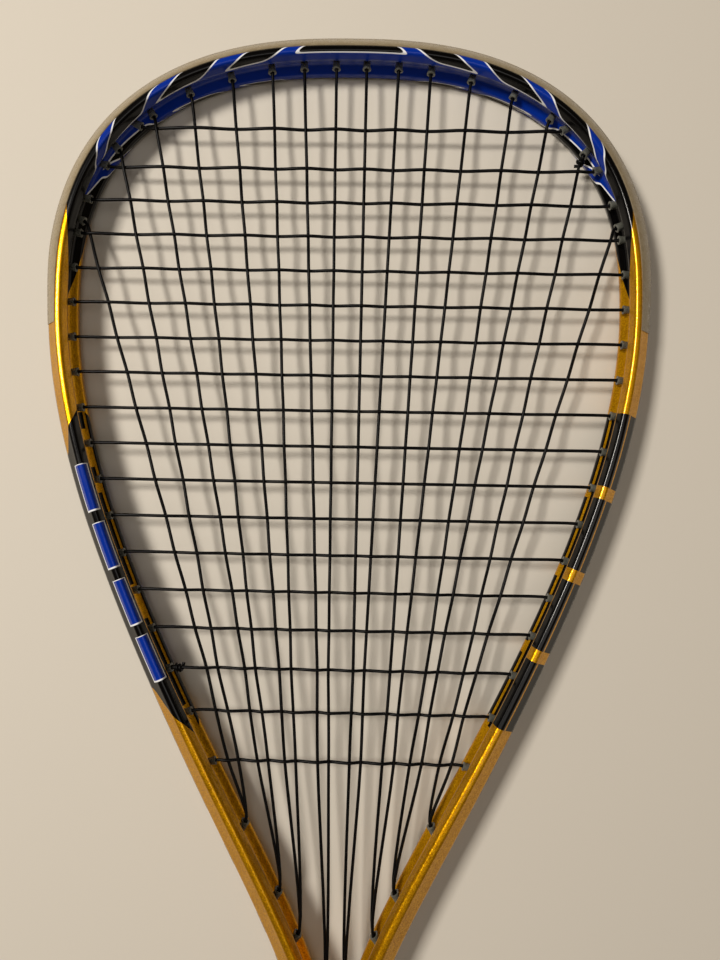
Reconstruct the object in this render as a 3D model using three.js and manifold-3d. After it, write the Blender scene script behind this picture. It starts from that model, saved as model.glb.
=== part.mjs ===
// Racquetball racket, lying flat: X across, Y towards the head tip, Z the normal of the string bed.
// Lengths in millimetres. Inside the model Y starts at the butt and Z at the string bed;
// the group at the end puts the origin at the bottom centre of the whole racket.
import * as THREE from 'three';
import { mergeVertices } from 'three/addons/utils/BufferGeometryUtils.js';
import Module from 'manifold-3d';

const wasm = await Module();
wasm.setup();

// Driving dimensions of the hoop
const headInsideWidth = 224.8;
const throatRadius = 5.6;
const throatAngle = 16;
const legJoinHalfWidth = 38.8;
const legAngle = 27.75;
const crownExponent = 2.52;

// Distances down from the head tip
const firstCrossDrop = 34.1;
const widestDrop = 109;
const bumperEndDrop = 116.4;
const legJoinDrop = 316.4;
const throatDrop = 394.7;
// and down from the throat's lowest point
const tunnelDrop = 11.9;
const neckDrop = 15.7;

// Moulded section, seen along the hoop
const headFrameWidth = 8.4;
const legFrameWidth = 10;
const frameDepth = 19.6;
const innerWallHeight = 10.4;
const innerGrooveDepth = 2.6;
const innerGrooveFloor = 4.8;
const widenFrom = 60;
const widenTo = 210;

// Outer groove and the clear channel that lies in it
const grooveDepth = 2.4;
const grooveHeight = 6.8;
const channelWall = 0.7;
const stripProud = 0.4;
const bumperThickness = 0.9;
const insertLength = 11;

// String, holes and grommet barrels
const stringDiameter = 1.3;
const weaveGap = 0.42;
const clearance = 0.3;
const boreClearance = 0.45;
const barrelWall = 0.6;
const barrelProud = 0.8;
const kneeLength = 1;
const pairSpread = 4.6;
const firstPitchExtra = 2.6;
const lastCrossRise = 23.5;
const stripTail = 13.5;
const crossFanPower = 12;
const boreLift = 0.34;
const kneeLift = 0.25;
const channelLift = 1;
const passLift = 1.4;

// Handle; the neck's place counts from the butt, so these lengths add up to the overall length
const neckPlace = 148.4;
const neckWidth = 27.6;
const neckDepth = 18.8;
const neckFlare = 6;
const palletWidth = 26;
const palletDepth = 22.6;
const palletSideWall = 2;
const palletFaceWall = 3.3;
const gripThickness = 1.9;
const gripStep = 0.55;
const gripPitch = 25;
const tapeLength = 18;
const tapeThickness = 0.5;
const collarLength = 14;
const collarWall = 1.2;
const capLength = 24;
const capRimLength = 8;
const capRimWidth = 38;
const capRimDepth = 33;
const capWall = 1.3;
const capEndWall = 3.5;
const capHollow = 7;
const tetherHole = 4;
const tetherHolePitch = 9;

// Shares of the sizes that they follow
const legStartShare = 0.27;
const legEndShare = 0.37;
const flankStartShare = 0.337;
const flankEndShare = 0.293;
const mainPlaceShares = [0.969, 0.845, 0.72, 0.586, 0.434, 0.288, 0.171, 0.055];
const throatHoleShares = [0.982, 0.628, 0.406, 0.055];
const pitchGrowthShare = 0.12;
const fanGrowthShare = 0.34;
const cornerCutShare = 0.62;
const kneeSpanShare = 1.25;
const mainTiltShare = 0.35;
const crossTiltShare = 1;
const throatTiltShare = 1;
const lapShare = 0.93;
const searchShares = [1.2, 0.15, 0.02, 0.0025];
// Section of the hoop: distance out from the inner wall and height from the string bed
const frameOutShares = [0.06, 0.15, 0.34, 0.48, 1];
const frameHeightShares = [0.92, 1, 1, 0.89, 0.4];

const mainCount = 16;
const crossCount = 18;
const stringSides = 5;
const boreSides = 6;
const gripSides = 8;
const overrun = 3;
const runSamples = 60;
const knotSteps = 8;
const firstKnotTurns = 2;
const lastKnotTurns = 1.5;
// Strings at the head's corners that pass one another outside, counted from the tip or the side
const cornerCrosses = 4;
const cornerMains = 2;
const bisections = 40;
const searchSteps = 12;
const weldShare = 1e-5;
const wallSteps = { arc: 24, leg: 48, flank: 96, crown: 120 };
const stationSteps = { arc: 4, leg: 5, flank: 11, crown: 14 };

const radians = THREE.MathUtils.degToRad;
const halfString = stringDiameter / 2;
const stringStep = stringDiameter + weaveGap;
const stackHalf = stringStep / 2;
const bumperProud = clearance + bumperThickness;
const overallLength = neckPlace + neckDrop + throatDrop;
const firstCrossPlace = overallLength - firstCrossDrop;
const widestPlace = overallLength - widestDrop;
const bumperEndPlace = overallLength - bumperEndDrop;
const legJoinPlace = overallLength - legJoinDrop;
const throatPlace = overallLength - throatDrop;
const tunnelPlace = throatPlace - tunnelDrop;
const shaftWidth = palletWidth - 2 * palletSideWall;
const shaftDepth = palletDepth - 2 * palletFaceWall;
const headTipInside = overallLength - bumperProud - headFrameWidth;
const crownHeight = headTipInside - widestPlace;

// Solids: geometry to manifold and back
function solid(geometry) {
  const bare = geometry.index ? geometry.clone() : geometry;
  bare.deleteAttribute('normal');
  bare.deleteAttribute('uv');
  const merged = mergeVertices(bare, weldShare);
  return new wasm.Manifold(new wasm.Mesh({
    numProp: 3,
    vertProperties: new Float32Array(merged.attributes.position.array),
    triVerts: new Uint32Array(merged.index.array),
  }));
}

function toGeometry(body) {
  const mesh = body.getMesh();
  const geometry = new THREE.BufferGeometry();
  geometry.setAttribute('position', new THREE.BufferAttribute(mesh.vertProperties, 3));
  geometry.setIndex(new THREE.BufferAttribute(mesh.triVerts, 1));
  geometry.computeVertexNormals();
  return geometry;
}

// A skin through rings of points; the ends are closed by flat caps unless the rings form a loop
function loft(rings, loop, section) {
  const count = rings[0].length;
  const points = rings.flat();
  const index = [];
  const spans = loop ? rings.length : rings.length - 1;
  for (let i = 0; i < spans; i += 1) {
    for (let j = 0; j < count; j += 1) {
      const a = i * count + j;
      const b = i * count + (j + 1) % count;
      const c = (i + 1) % rings.length * count + j;
      const d = (i + 1) % rings.length * count + (j + 1) % count;
      index.push(a, b, d, a, d, c);
    }
  }
  if (!loop) {
    const last = (rings.length - 1) * count;
    const clockwise = THREE.ShapeUtils.isClockWise(section);
    for (const face of THREE.ShapeUtils.triangulateShape(section.slice(), [])) {
      const [a, b, c] = clockwise ? face.slice().reverse() : face;
      index.push(a, c, b, last + a, last + b, last + c);
    }
  }
  let volume = 0;
  for (let i = 0; i < index.length; i += 3) {
    const [a, b, c] = [points[index[i]], points[index[i + 1]], points[index[i + 2]]];
    volume += a.dot(new THREE.Vector3().crossVectors(b, c));
  }
  if (volume < 0) {
    index.reverse();
  }
  const geometry = new THREE.BufferGeometry();
  const flat = new Float32Array(points.flatMap((point) => point.toArray()));
  geometry.setAttribute('position', new THREE.BufferAttribute(flat, 3));
  geometry.setIndex(index);
  return geometry;
}

// Inner wall of the hoop, right half, from the throat's lowest point to the head tip
function rightHalfWall() {
  const path = new THREE.CurvePath();
  const along = (angle) => new THREE.Vector2(Math.sin(radians(angle)), Math.cos(radians(angle)));
  const arc = new THREE.EllipseCurve(0, throatPlace + throatRadius, throatRadius, throatRadius,
    -Math.PI / 2, -radians(throatAngle));
  const throatEnd = arc.getPoint(1);
  const legJoin = new THREE.Vector2(legJoinHalfWidth, legJoinPlace);
  const widest = new THREE.Vector2(headInsideWidth / 2, widestPlace);
  const legSpan = throatEnd.distanceTo(legJoin);
  const flankSpan = legJoin.distanceTo(widest);
  const leg = new THREE.CubicBezierCurve(throatEnd,
    throatEnd.clone().addScaledVector(along(throatAngle), legSpan * legStartShare),
    legJoin.clone().addScaledVector(along(legAngle), -legSpan * legEndShare), legJoin);
  const flank = new THREE.CubicBezierCurve(legJoin,
    legJoin.clone().addScaledVector(along(legAngle), flankSpan * flankStartShare),
    widest.clone().addScaledVector(along(0), -flankSpan * flankEndShare), widest);
  const points = [
    ...arc.getPoints(wallSteps.arc), ...leg.getPoints(wallSteps.leg).slice(1),
    ...flank.getPoints(wallSteps.flank).slice(1),
  ];
  for (let i = 1; i <= wallSteps.crown; i += 1) {
    const turn = Math.PI / 2 * i / wallSteps.crown;
    const power = 2 / crownExponent;
    points.push(new THREE.Vector2(widest.x * Math.max(Math.cos(turn), 0) ** power,
      widestPlace + crownHeight * Math.sin(turn) ** power));
  }
  points[0].x = 0;
  points[points.length - 1].x = 0;
  return points;
}

const wallPoints = rightHalfWall();
const wallLengths = [0];
for (let i = 1; i < wallPoints.length; i += 1) {
  wallLengths.push(wallLengths[i - 1] + wallPoints[i].distanceTo(wallPoints[i - 1]));
}
const halfWall = wallLengths[wallLengths.length - 1];
const wallNormals = wallPoints.map((point, i) => {
  const last = wallPoints.length - 1;
  if (i === 0 || i === last) {
    return new THREE.Vector2(0, i === 0 ? -1 : 1);
  }
  const step = wallPoints[i + 1].clone().sub(wallPoints[i - 1]).normalize();
  return new THREE.Vector2(step.y, -step.x);
});

// Place on the inner wall; the length runs from the throat, positive on the right, negative on the left
function wallAt(length) {
  const size = Math.min(Math.abs(length), halfWall);
  let i = wallLengths.findIndex((value) => value >= size);
  i = Math.max(i, 1);
  const share = (size - wallLengths[i - 1]) / (wallLengths[i] - wallLengths[i - 1]);
  const point = wallPoints[i - 1].clone().lerp(wallPoints[i], share);
  const normal = wallNormals[i - 1].clone().lerp(wallNormals[i], share).normalize();
  if (length < 0) {
    point.x *= -1;
    normal.x *= -1;
  }
  return { point, normal };
}

function frameWidthAt(length) {
  const share = THREE.MathUtils.smoothstep(Math.abs(length), widenFrom, widenTo);
  return THREE.MathUtils.lerp(legFrameWidth, headFrameWidth, share);
}

// Length along the right wall where a measure of the wall first passes a value
function wallLengthWhere(measure, value) {
  const i = wallPoints.findIndex((point, at) => at > 0 && measure(point) >= value);
  const low = measure(wallPoints[i - 1]);
  const share = (value - low) / (measure(wallPoints[i]) - low);
  return THREE.MathUtils.lerp(wallLengths[i - 1], wallLengths[i], share);
}
const wallLengthAtPlace = (place) => wallLengthWhere((point) => point.y, place);
// The same for a half width in the crown, above the widest place
function crownLengthAtHalfWidth(halfWidth) {
  let low = wallLengthAtPlace(widestPlace);
  let high = halfWall;
  for (let i = 0; i < bisections; i += 1) {
    const middle = (low + high) / 2;
    if (wallAt(middle).point.x > halfWidth) {
      low = middle;
    } else {
      high = middle;
    }
  }
  return low;
}

// Stations of the hoop: close together round the throat and the crown, wider along the legs
const throatArcLength = throatRadius * (Math.PI / 2 - radians(throatAngle));
const legEndLength = wallLengthAtPlace(legJoinPlace);
const flankEndLength = wallLengthAtPlace(widestPlace);
function spread(from, to, steps) {
  return Array.from({ length: steps }, (unused, i) => THREE.MathUtils.lerp(from, to, i / steps));
}
const rightStations = [
  ...spread(0, throatArcLength, stationSteps.arc),
  ...spread(throatArcLength, legEndLength, stationSteps.leg),
  ...spread(legEndLength, flankEndLength, stationSteps.flank),
  ...spread(flankEndLength, halfWall, stationSteps.crown),
];
const hoopStations = [
  ...rightStations, halfWall, ...rightStations.slice(1).reverse().map((length) => -length),
];

function ringAt(length, section) {
  const { point, normal } = wallAt(length);
  return section.map(([out, height]) => new THREE.Vector3(
    point.x + normal.x * out, point.y + normal.y * out, height));
}

// A profile carried along the wall between two lengths, counted up the right side and down the left
function carried(from, to, sectionAt) {
  const over = (length) => (length > halfWall ? length - 2 * halfWall : length);
  const all = hoopStations.map((length) => (length < 0 ? length + 2 * halfWall : length));
  const inside = all.filter((length) => length > from + clearance && length < to - clearance);
  const lengths = [from, ...inside, to].map(over);
  const rings = lengths.map((length) => ringAt(length, sectionAt(frameWidthAt(length))));
  const outline = sectionAt(headFrameWidth).map(([out, height]) => new THREE.Vector2(out, height));
  return solid(loft(rings, false, outline));
}

// A straight prism with its flats at the given radius, between two distances along a direction
function prism(point, direction, flatRadius, from, to, sides) {
  const radius = flatRadius / Math.cos(Math.PI / sides);
  const shape = new THREE.CylinderGeometry(radius, radius, to - from, sides);
  const turn = new THREE.Quaternion().setFromUnitVectors(
    new THREE.Vector3(0, 1, 0), new THREE.Vector3(direction.x, direction.y, 0));
  shape.applyQuaternion(turn);
  const middle = (from + to) / 2;
  shape.translate(point.x + direction.x * middle, point.y + direction.y * middle, 0);
  return solid(shape);
}

// Profiles across the hoop: distance out from the inner wall, height from the string bed.
// The inner side is hollowed between two rounded edges, and the barrels stand in that hollow
function frameProfile(width) {
  const upper = frameOutShares.map((share, i) => [
    share * width, frameHeightShares[i] * frameDepth / 2]);
  const half = [[innerGrooveDepth, innerGrooveFloor / 2], [0, innerWallHeight / 2], ...upper];
  const lower = half.map(([out, height]) => [out, -height]).reverse();
  return [...half, ...lower];
}

const grooveHalf = grooveHeight / 2;
const channelOuterHalf = grooveHalf - clearance;
const channelInnerHalf = channelOuterHalf - channelWall;
const grooveProfile = (width) => [
  [width - grooveDepth, grooveHalf], [width + overrun, grooveHalf],
  [width + overrun, -grooveHalf], [width - grooveDepth, -grooveHalf]];

function channelProfile(width) {
  const floor = width - grooveDepth + clearance;
  const top = width + stripProud;
  return [
    [floor, channelOuterHalf], [top, channelOuterHalf], [top, channelInnerHalf],
    [floor + channelWall, channelInnerHalf], [floor + channelWall, -channelInnerHalf],
    [top, -channelInnerHalf], [top, -channelOuterHalf], [floor, -channelOuterHalf]];
}

// The bumper is the same channel with flanges that lie on the frame's outer slopes
function bumperProfile(width) {
  const floor = width - grooveDepth + clearance;
  const lip = frameHeightShares[4] * frameDepth / 2;
  const hip = [frameOutShares[3] * width, frameHeightShares[3] * frameDepth / 2];
  const slope = new THREE.Vector2(hip[0] - width, hip[1] - lip).normalize();
  const normal = [slope.y, -slope.x];
  const shifted = (point, by) => [point[0] + normal[0] * by, point[1] + normal[1] * by];
  const far = shifted(hip, clearance);
  const farOut = shifted(hip, clearance + bumperThickness);
  const half = [
    [floor, channelOuterHalf], [width + clearance, channelOuterHalf],
    [width + clearance, lip], far, farOut, [width + bumperProud, lip],
    [width + bumperProud, channelInnerHalf], [floor + channelWall, channelInnerHalf]];
  return [...half, ...half.map(([out, height]) => [out, -height]).reverse()];
}

// String holes. A hole has its place on the wall and a direction, which points outwards
const channelOut = (width) => (
  width - grooveDepth + clearance + channelWall + clearance + halfString);

function wallLengthNear(target, guess) {
  let best = guess;
  for (const share of searchShares) {
    const centre = best;
    let least = Infinity;
    for (let i = -searchSteps; i <= searchSteps; i += 1) {
      const length = centre + share * frameDepth * i / searchSteps;
      const distance = wallAt(length).point.distanceTo(target);
      if (distance < least) {
        least = distance;
        best = length;
      }
    }
  }
  return best;
}

function makeHole(length, aim, isDouble) {
  const { point } = wallAt(length);
  let low = 0;
  let high = frameDepth;
  let outerLength = length;
  for (let i = 0; i < bisections; i += 1) {
    const middle = (low + high) / 2;
    const place = point.clone().addScaledVector(aim, middle);
    outerLength = wallLengthNear(place, outerLength);
    const reached = wallAt(outerLength).point.distanceTo(place);
    if (reached < channelOut(frameWidthAt(outerLength))) {
      low = middle;
    } else {
      high = middle;
    }
  }
  const knee = point.clone().addScaledVector(aim, -barrelProud - kneeLength);
  const exit = point.clone().addScaledVector(aim, low);
  return { length, point, aim, reach: low, knee, exit, outerLength, isDouble };
}

// Direction between the wall's normal and the string that comes to the hole
const between = (length, run, share) => (
  wallAt(length).normal.clone().addScaledVector(run, share).normalize());

// The crosses stand wider apart towards the throat; the last one is a little above the legs' joins
const crossGrowths = Array.from({ length: crossCount - 1 }, (unused, i) => {
  const share = i / (crossCount - 2);
  return 1 + pitchGrowthShare * share + fanGrowthShare * share ** crossFanPower;
});
const lastCrossPlace = legJoinPlace + lastCrossRise;
const crossPitch = (firstCrossPlace - firstPitchExtra - lastCrossPlace)
  / crossGrowths.reduce((sum, growth) => sum + growth);
const crossPlaces = [firstCrossPlace];
crossGrowths.forEach((growth, i) => {
  const extra = i === 0 ? firstPitchExtra : 0;
  crossPlaces.push(crossPlaces[i] - crossPitch * growth - extra);
});
const stripEndPlace = lastCrossPlace - stripTail;

const leftSide = (i) => i < mainCount / 2;
const mirrored = (i) => (leftSide(i) ? i : mainCount - 1 - i);
const throatLengths = throatHoleShares.map((share) => wallLengthAtPlace(
  THREE.MathUtils.lerp(throatPlace, legJoinPlace, share)));
const crownLengths = mainPlaceShares.map((share) => (
  crownLengthAtHalfWidth(share * headInsideWidth / 2)));

// Mains, left to right; two neighbours share a throat hole
const tieMain = mainCount - 2;
const tieCross = crossCount - 3;
const mains = Array.from({ length: mainCount }, (unused, i) => {
  const side = leftSide(i) ? -1 : 1;
  const topLength = side * crownLengths[mirrored(i)];
  const throatLength = side * throatLengths[Math.floor(mirrored(i) / 2)];
  const run = wallAt(topLength).point.clone().sub(wallAt(throatLength).point).normalize();
  return { topLength, throatLength, run };
});
for (let i = 0; i < mainCount; i += 2) {
  const run = mains[i].run.clone().add(mains[i + 1].run).normalize().negate();
  const hole = makeHole(mains[i].throatLength, between(mains[i].throatLength, run, throatTiltShare), true);
  mains[i].throat = hole;
  mains[i + 1].throat = hole;
}
mains.forEach((main, i) => {
  main.top = makeHole(main.topLength, between(main.topLength, main.run, mainTiltShare), i === tieMain);
});

const sideways = new THREE.Vector2(1, 0);
const crosses = crossPlaces.map((place, j) => {
  const length = wallLengthAtPlace(place);
  return {
    place,
    left: makeHole(-length, between(-length, sideways.clone().negate(), crossTiltShare),
      j === tieCross),
    right: makeHole(length, between(length, sideways, crossTiltShare), false),
  };
});

// Crossings. The mains of a pair are held apart where they near their hole
function straightMainAt(i, place) {
  const { top, throat } = mains[i];
  const share = (place - throat.knee.y) / (top.knee.y - throat.knee.y);
  return THREE.MathUtils.lerp(throat.knee.x, top.knee.x, share);
}
function mainAt(i, place) {
  const mate = i % 2 === 0 ? i + 1 : i - 1;
  const own = straightMainAt(i, place);
  const other = straightMainAt(mate, place);
  const middle = (own + other) / 2;
  const half = Math.max(Math.abs(own - other), pairSpread) / 2;
  return middle + (i < mate ? -half : half);
}
const meets = (i, j) => crosses[j].place < mains[i].top.knee.y - stringDiameter;
const mainIsOver = (i, j) => (i + j) % 2 === 0;

// Least rise at a crossing that keeps the two strings apart when the next crossing is so far off
function riseFor(spacing) {
  return stackHalf * spacing / Math.sqrt(spacing ** 2 - stringStep ** 2);
}
function riseAt(i, j) {
  const here = mainAt(i, crosses[j].place);
  const sides = [i - 1, i + 1].filter((other) => mains[other] && meets(other, j));
  const { place, left, right } = crosses[j];
  const spacings = sides.map((other) => Math.abs(mainAt(other, place) - here));
  const kneeSpans = [mains[i].top.knee.y - place, here - left.knee.x, right.knee.x - here];
  return riseFor(Math.min(crossPitch, ...spacings, ...kneeSpans.map((span) => kneeSpanShare * span)));
}

// The one string, as a list of points from the first knot to the last
const stringPoints = [];
function lay(x, y, z) {
  stringPoints.push(new THREE.Vector3(x, y, z));
}

function layMain(i, upwards) {
  const order = crosses.map((cross, j) => j).filter((j) => meets(i, j));
  if (upwards) {
    order.reverse();
  }
  for (const j of order) {
    const { place } = crosses[j];
    lay(mainAt(i, place), place, riseAt(i, j) * (mainIsOver(i, j) ? 1 : -1));
  }
}

function layCross(j, rightwards) {
  const order = mains.map((main, i) => i).filter((i) => meets(i, j));
  if (!rightwards) {
    order.reverse();
  }
  for (const i of order) {
    lay(mainAt(i, crosses[j].place), crosses[j].place, riseAt(i, j) * (mainIsOver(i, j) ? -1 : 1));
  }
}

// Length along the channel, counted from the throat up the right side and down the left
const around = (length) => (length < 0 ? length + 2 * halfWall : length);
function channelPoint(length) {
  const real = length > halfWall ? length - 2 * halfWall : length;
  const { point, normal } = wallAt(real);
  return point.clone().addScaledVector(normal, channelOut(frameWidthAt(real)));
}

// Through a hole, outwards or inwards: a knee inside the hoop, the bore and a rounded turn
const turnLength = halfString + clearance;
const wayTo = (from, to) => Math.sign(around(to.outerLength) - around(from.outerLength));
function layHole(hole, way, [kneeHeight, boreHeight, outHeight], outwards) {
  const { normal } = wallAt(hole.outerLength);
  const ahead = new THREE.Vector2(-normal.y, normal.x);
  const before = hole.exit.clone().addScaledVector(hole.aim, -turnLength);
  const after = hole.exit.clone().addScaledVector(ahead, way * turnLength);
  const points = [
    [hole.knee.x, hole.knee.y, kneeHeight],
    [before.x, before.y, boreHeight],
    [after.x, after.y, outHeight]];
  if (!outwards) {
    points.reverse();
  }
  points.forEach(([x, y, z]) => lay(x, y, z));
}

// Outside, from hole to hole. Where it passes other holes the string lies to one side of them
function layRun(from, to, fromHeight, toHeight, passHeight) {
  const start = around(from.outerLength);
  const end = around(to.outerLength);
  const steps = Math.max(Math.round(from.exit.distanceTo(to.exit) / crossPitch) + 1, 2);
  const lengths = spread(start, end, runSamples);
  const travel = [0];
  lengths.slice(1).forEach((length, i) => {
    travel.push(travel[i] + channelPoint(length).distanceTo(channelPoint(lengths[i])));
  });
  for (let i = 1; i < steps; i += 1) {
    const share = i / steps;
    const place = channelPoint(lengths[travel.findIndex((value) => value >= share * travel.at(-1))]);
    lay(place.x, place.y, passHeight ?? THREE.MathUtils.lerp(fromHeight, toHeight, share));
  }
}

// Heights at a hole: at the knee, in the bore and in the channel
const stacked = (sign) => [sign * stackHalf, sign * stackHalf, sign * stackHalf];
const throatSign = (i) => (mainIsOver(i, crossCount - 1) ? 1 : -1);
function mainTopHeights(i) {
  const first = crosses.findIndex((cross, j) => meets(i, j));
  const side = mirrored(i) < cornerMains ? -1 : 0;
  const knee = mainIsOver(i, first) ? kneeLift : -kneeLift;
  return i === tieMain ? stacked(-1) : [knee, side * boreLift, side * channelLift];
}
function crossHeights(j, right) {
  const met = mains.map((main, i) => i).filter((i) => meets(i, j));
  const first = right ? met[met.length - 1] : met[0];
  const side = j < cornerCrosses || (!right && j > tieCross) ? 1 : 0;
  const knee = mainIsOver(first, j) ? -kneeLift : kneeLift;
  return !right && j === tieCross ? stacked(1) : [knee, side * boreLift, side * channelLift];
}

// A knot: turns round the neighbouring string beside its hole, and the cut end
const knotRadius = stringStep / Math.cos(Math.PI / knotSteps);
const knotPitch = stringStep + clearance / 2;
function layKnot(knee, direction, anchorHeight, side, turns, endFirst) {
  const across = new THREE.Vector2(-direction.y, direction.x);
  const points = [];
  for (let i = 0; i <= turns * knotSteps; i += 1) {
    const angle = 2 * Math.PI * i / knotSteps;
    const along = turnLength + knotPitch * i / knotSteps;
    const swing = knotRadius * Math.sin(angle);
    points.push(new THREE.Vector3(knee.x + direction.x * along + across.x * swing,
      knee.y + direction.y * along + across.y * swing,
      anchorHeight + side * knotRadius * Math.cos(angle)));
  }
  const [before, last] = points.slice(-2);
  const way = last.clone().sub(before).normalize();
  points.push(last.clone().addScaledVector(way, stringDiameter));
  if (endFirst) {
    points.reverse();
  }
  stringPoints.push(...points);
}

// The string's whole way: mains from left to right, then the crosses from the throat to the tip
const lowCross = crossCount - 1;
const tieHole = crosses[tieCross].left;
const tieWay = new THREE.Vector2(mainAt(0, crosses[tieCross].place), crosses[tieCross].place)
  .sub(tieHole.knee).normalize();
layKnot(tieHole.knee, tieWay, stackHalf, -1, firstKnotTurns, true);
layHole(tieHole, wayTo(tieHole, mains[0].throat), stacked(-1), true);
layRun(tieHole, mains[0].throat, -stackHalf, -stackHalf, -passLift);
const tunnelMouth = neckWidth / 2 - (headFrameWidth - channelOut(headFrameWidth));
for (let i = 0; i < mainCount; i += 2) {
  const [up, down] = [mains[i], mains[i + 1]];
  const before = i === 0 ? tieHole : mains[i - 1].throat;
  const after = i + 2 === mainCount ? crosses[lowCross].right : mains[i + 2]?.throat;
  const crossed = mirrored(i) < cornerMains ? -passLift : null;
  const fromTunnel = i === mainCount / 2;
  const toTunnel = i + 2 === mainCount / 2;
  layHole(up.throat, fromTunnel ? -1 : wayTo(up.throat, before), stacked(throatSign(i)), false);
  layMain(i, true);
  layHole(up.top, wayTo(up.top, down.top), mainTopHeights(i), true);
  layRun(up.top, down.top, 0, 0, crossed);
  layHole(down.top, wayTo(down.top, up.top), mainTopHeights(i + 1), false);
  layMain(i + 1, false);
  layHole(down.throat, toTunnel ? 1 : wayTo(down.throat, after), stacked(throatSign(i + 1)), true);
  if (toTunnel) {
    lay(-tunnelMouth, tunnelPlace, 0);
    lay(tunnelMouth, tunnelPlace, 0);
  } else {
    layRun(down.throat, after, throatSign(i + 1) * stackHalf,
      i + 2 === mainCount ? 0 : throatSign(i + 2) * stackHalf, null);
  }
}
for (let j = lowCross; j >= 0; j -= 1) {
  const rightwards = j % 2 === 0;
  const [start, end] = rightwards ? ['left', 'right'] : ['right', 'left'];
  const before = j === lowCross ? mains[mainCount - 1].throat : crosses[j + 1][start];
  const after = j === 0 ? mains[tieMain].top : crosses[j - 1][end];
  const [from, to] = [crosses[j][start], crosses[j][end]];
  layHole(from, wayTo(from, before), crossHeights(j, !rightwards), false);
  layCross(j, rightwards);
  layHole(to, wayTo(to, after), crossHeights(j, rightwards), true);
  const outHeight = crossHeights(j, rightwards)[2];
  const passes = !rightwards && j < cornerCrosses;
  if (j > 0) {
    layRun(to, after, outHeight, crossHeights(j - 1, rightwards)[2],
      passes ? passLift : null);
  }
}
layHole(mains[tieMain].top, wayTo(mains[tieMain].top, crosses[0].right), stacked(1), false);
const endKnee = mains[tieMain].top.knee;
const endWay = new THREE.Vector2(mainAt(tieMain, crosses[1].place), crosses[1].place)
  .sub(endKnee).normalize();
layKnot(endKnee, endWay, -stackHalf, 1, lastKnotTurns, false);

// A tube through a list of points, its ring at each point square to the way through it
function tube(points, radius, sides) {
  const ways = points.map((point, i) => {
    const from = points[Math.max(i - 1, 0)];
    const to = points[Math.min(i + 1, points.length - 1)];
    const back = point.clone().sub(from).normalize();
    const ahead = to.clone().sub(point).normalize();
    return back.add(ahead).normalize();
  });
  let across = new THREE.Vector3(0, 0, 1);
  const rings = points.map((point, i) => {
    across = across.clone().addScaledVector(ways[i], -across.dot(ways[i])).normalize();
    const other = new THREE.Vector3().crossVectors(ways[i], across);
    return Array.from({ length: sides }, (unused, k) => {
      const angle = 2 * Math.PI * k / sides;
      return point.clone().addScaledVector(across, radius * Math.cos(angle))
        .addScaledVector(other, radius * Math.sin(angle));
    });
  });
  const outline = Array.from({ length: sides }, (unused, k) => {
    const angle = 2 * Math.PI * k / sides;
    return new THREE.Vector2(Math.cos(angle), Math.sin(angle));
  });
  return loft(rings, false, outline);
}

// Least distance between two stretches of the string that aren't neighbours, less its diameter
function leastSelfGap(points) {
  const lengths = [0];
  for (let i = 1; i < points.length; i += 1) {
    lengths.push(lengths[i - 1] + points[i].distanceTo(points[i - 1]));
  }
  const samples = [];
  for (let i = 1; i < points.length; i += 1) {
    const steps = Math.ceil((lengths[i] - lengths[i - 1]) / halfString);
    for (let k = 0; k < steps; k += 1) {
      const share = k / steps;
      samples.push({
        point: points[i - 1].clone().lerp(points[i], share),
        length: THREE.MathUtils.lerp(lengths[i - 1], lengths[i], share),
      });
    }
  }
  const cells = new Map();
  const cell = (value) => Math.floor(value / (2 * stringDiameter));
  let least = { gap: Infinity };
  for (const sample of samples) {
    const { point } = sample;
    for (let a = -1; a <= 1; a += 1) {
      for (let b = -1; b <= 1; b += 1) {
        for (const other of cells.get(`${cell(point.x) + a},${cell(point.y) + b}`) ?? []) {
          const gap = other.point.distanceTo(point) - stringDiameter;
          if (gap < least.gap && sample.length - other.length > 3 * stringDiameter) {
            least = { gap, point };
          }
        }
      }
    }
    const key = `${cell(point.x)},${cell(point.y)}`;
    cells.set(key, [...(cells.get(key) ?? []), sample]);
  }
  return least;
}
const nearest = leastSelfGap(stringPoints);
console.log(`string: ${stringPoints.length} points, least gap to itself `
  + `${nearest.gap.toFixed(3)} mm at ${nearest.point.toArray().map(Math.round)}`);

// Barrels and bores of the holes
const boreFlat = (hole) => (hole.isDouble ? stackHalf + halfString + clearance
  : halfString + boreClearance);
const barrelFlat = (hole) => boreFlat(hole) + barrelWall;
const frameHoleFlat = (hole) => barrelFlat(hole) + clearance;
const boreThrough = (hole, flat) => prism(hole.point, hole.aim, flat,
  -barrelProud - overrun, hole.reach + overrun, boreSides);
const barrelOf = (hole) => prism(hole.point, hole.aim, barrelFlat(hole),
  -barrelProud, hole.reach, boreSides);
const cavityProfile = (width) => {
  const floor = channelOut(width) - halfString - clearance;
  return [
    [floor, channelInnerHalf], [width + overrun, channelInnerHalf],
    [width + overrun, -channelInnerHalf], [floor, -channelInnerHalf]];
};

// A clear strip: its channel with the barrels that stand on it, less the string's way and the bores
function clearStrip(from, to, profile, holes) {
  const barrels = holes.map(barrelOf);
  const bores = holes.map((hole) => boreThrough(hole, boreFlat(hole)));
  const way = carried(from - channelWall, to + channelWall, cavityProfile);
  return carried(from, to, profile).add(wasm.Manifold.union(barrels))
    .subtract(wasm.Manifold.union([way, ...bores]));
}

// Handle sections are rectangles with cut corners
function octagon(width, depth) {
  const cut = (1 - cornerCutShare) * Math.min(width, depth) / 2;
  const [x, z] = [width / 2, depth / 2];
  return [
    [x, z - cut], [x - cut, z], [cut - x, z], [-x, z - cut],
    [-x, cut - z], [cut - x, -z], [x - cut, -z], [x, cut - z]];
}
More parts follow.
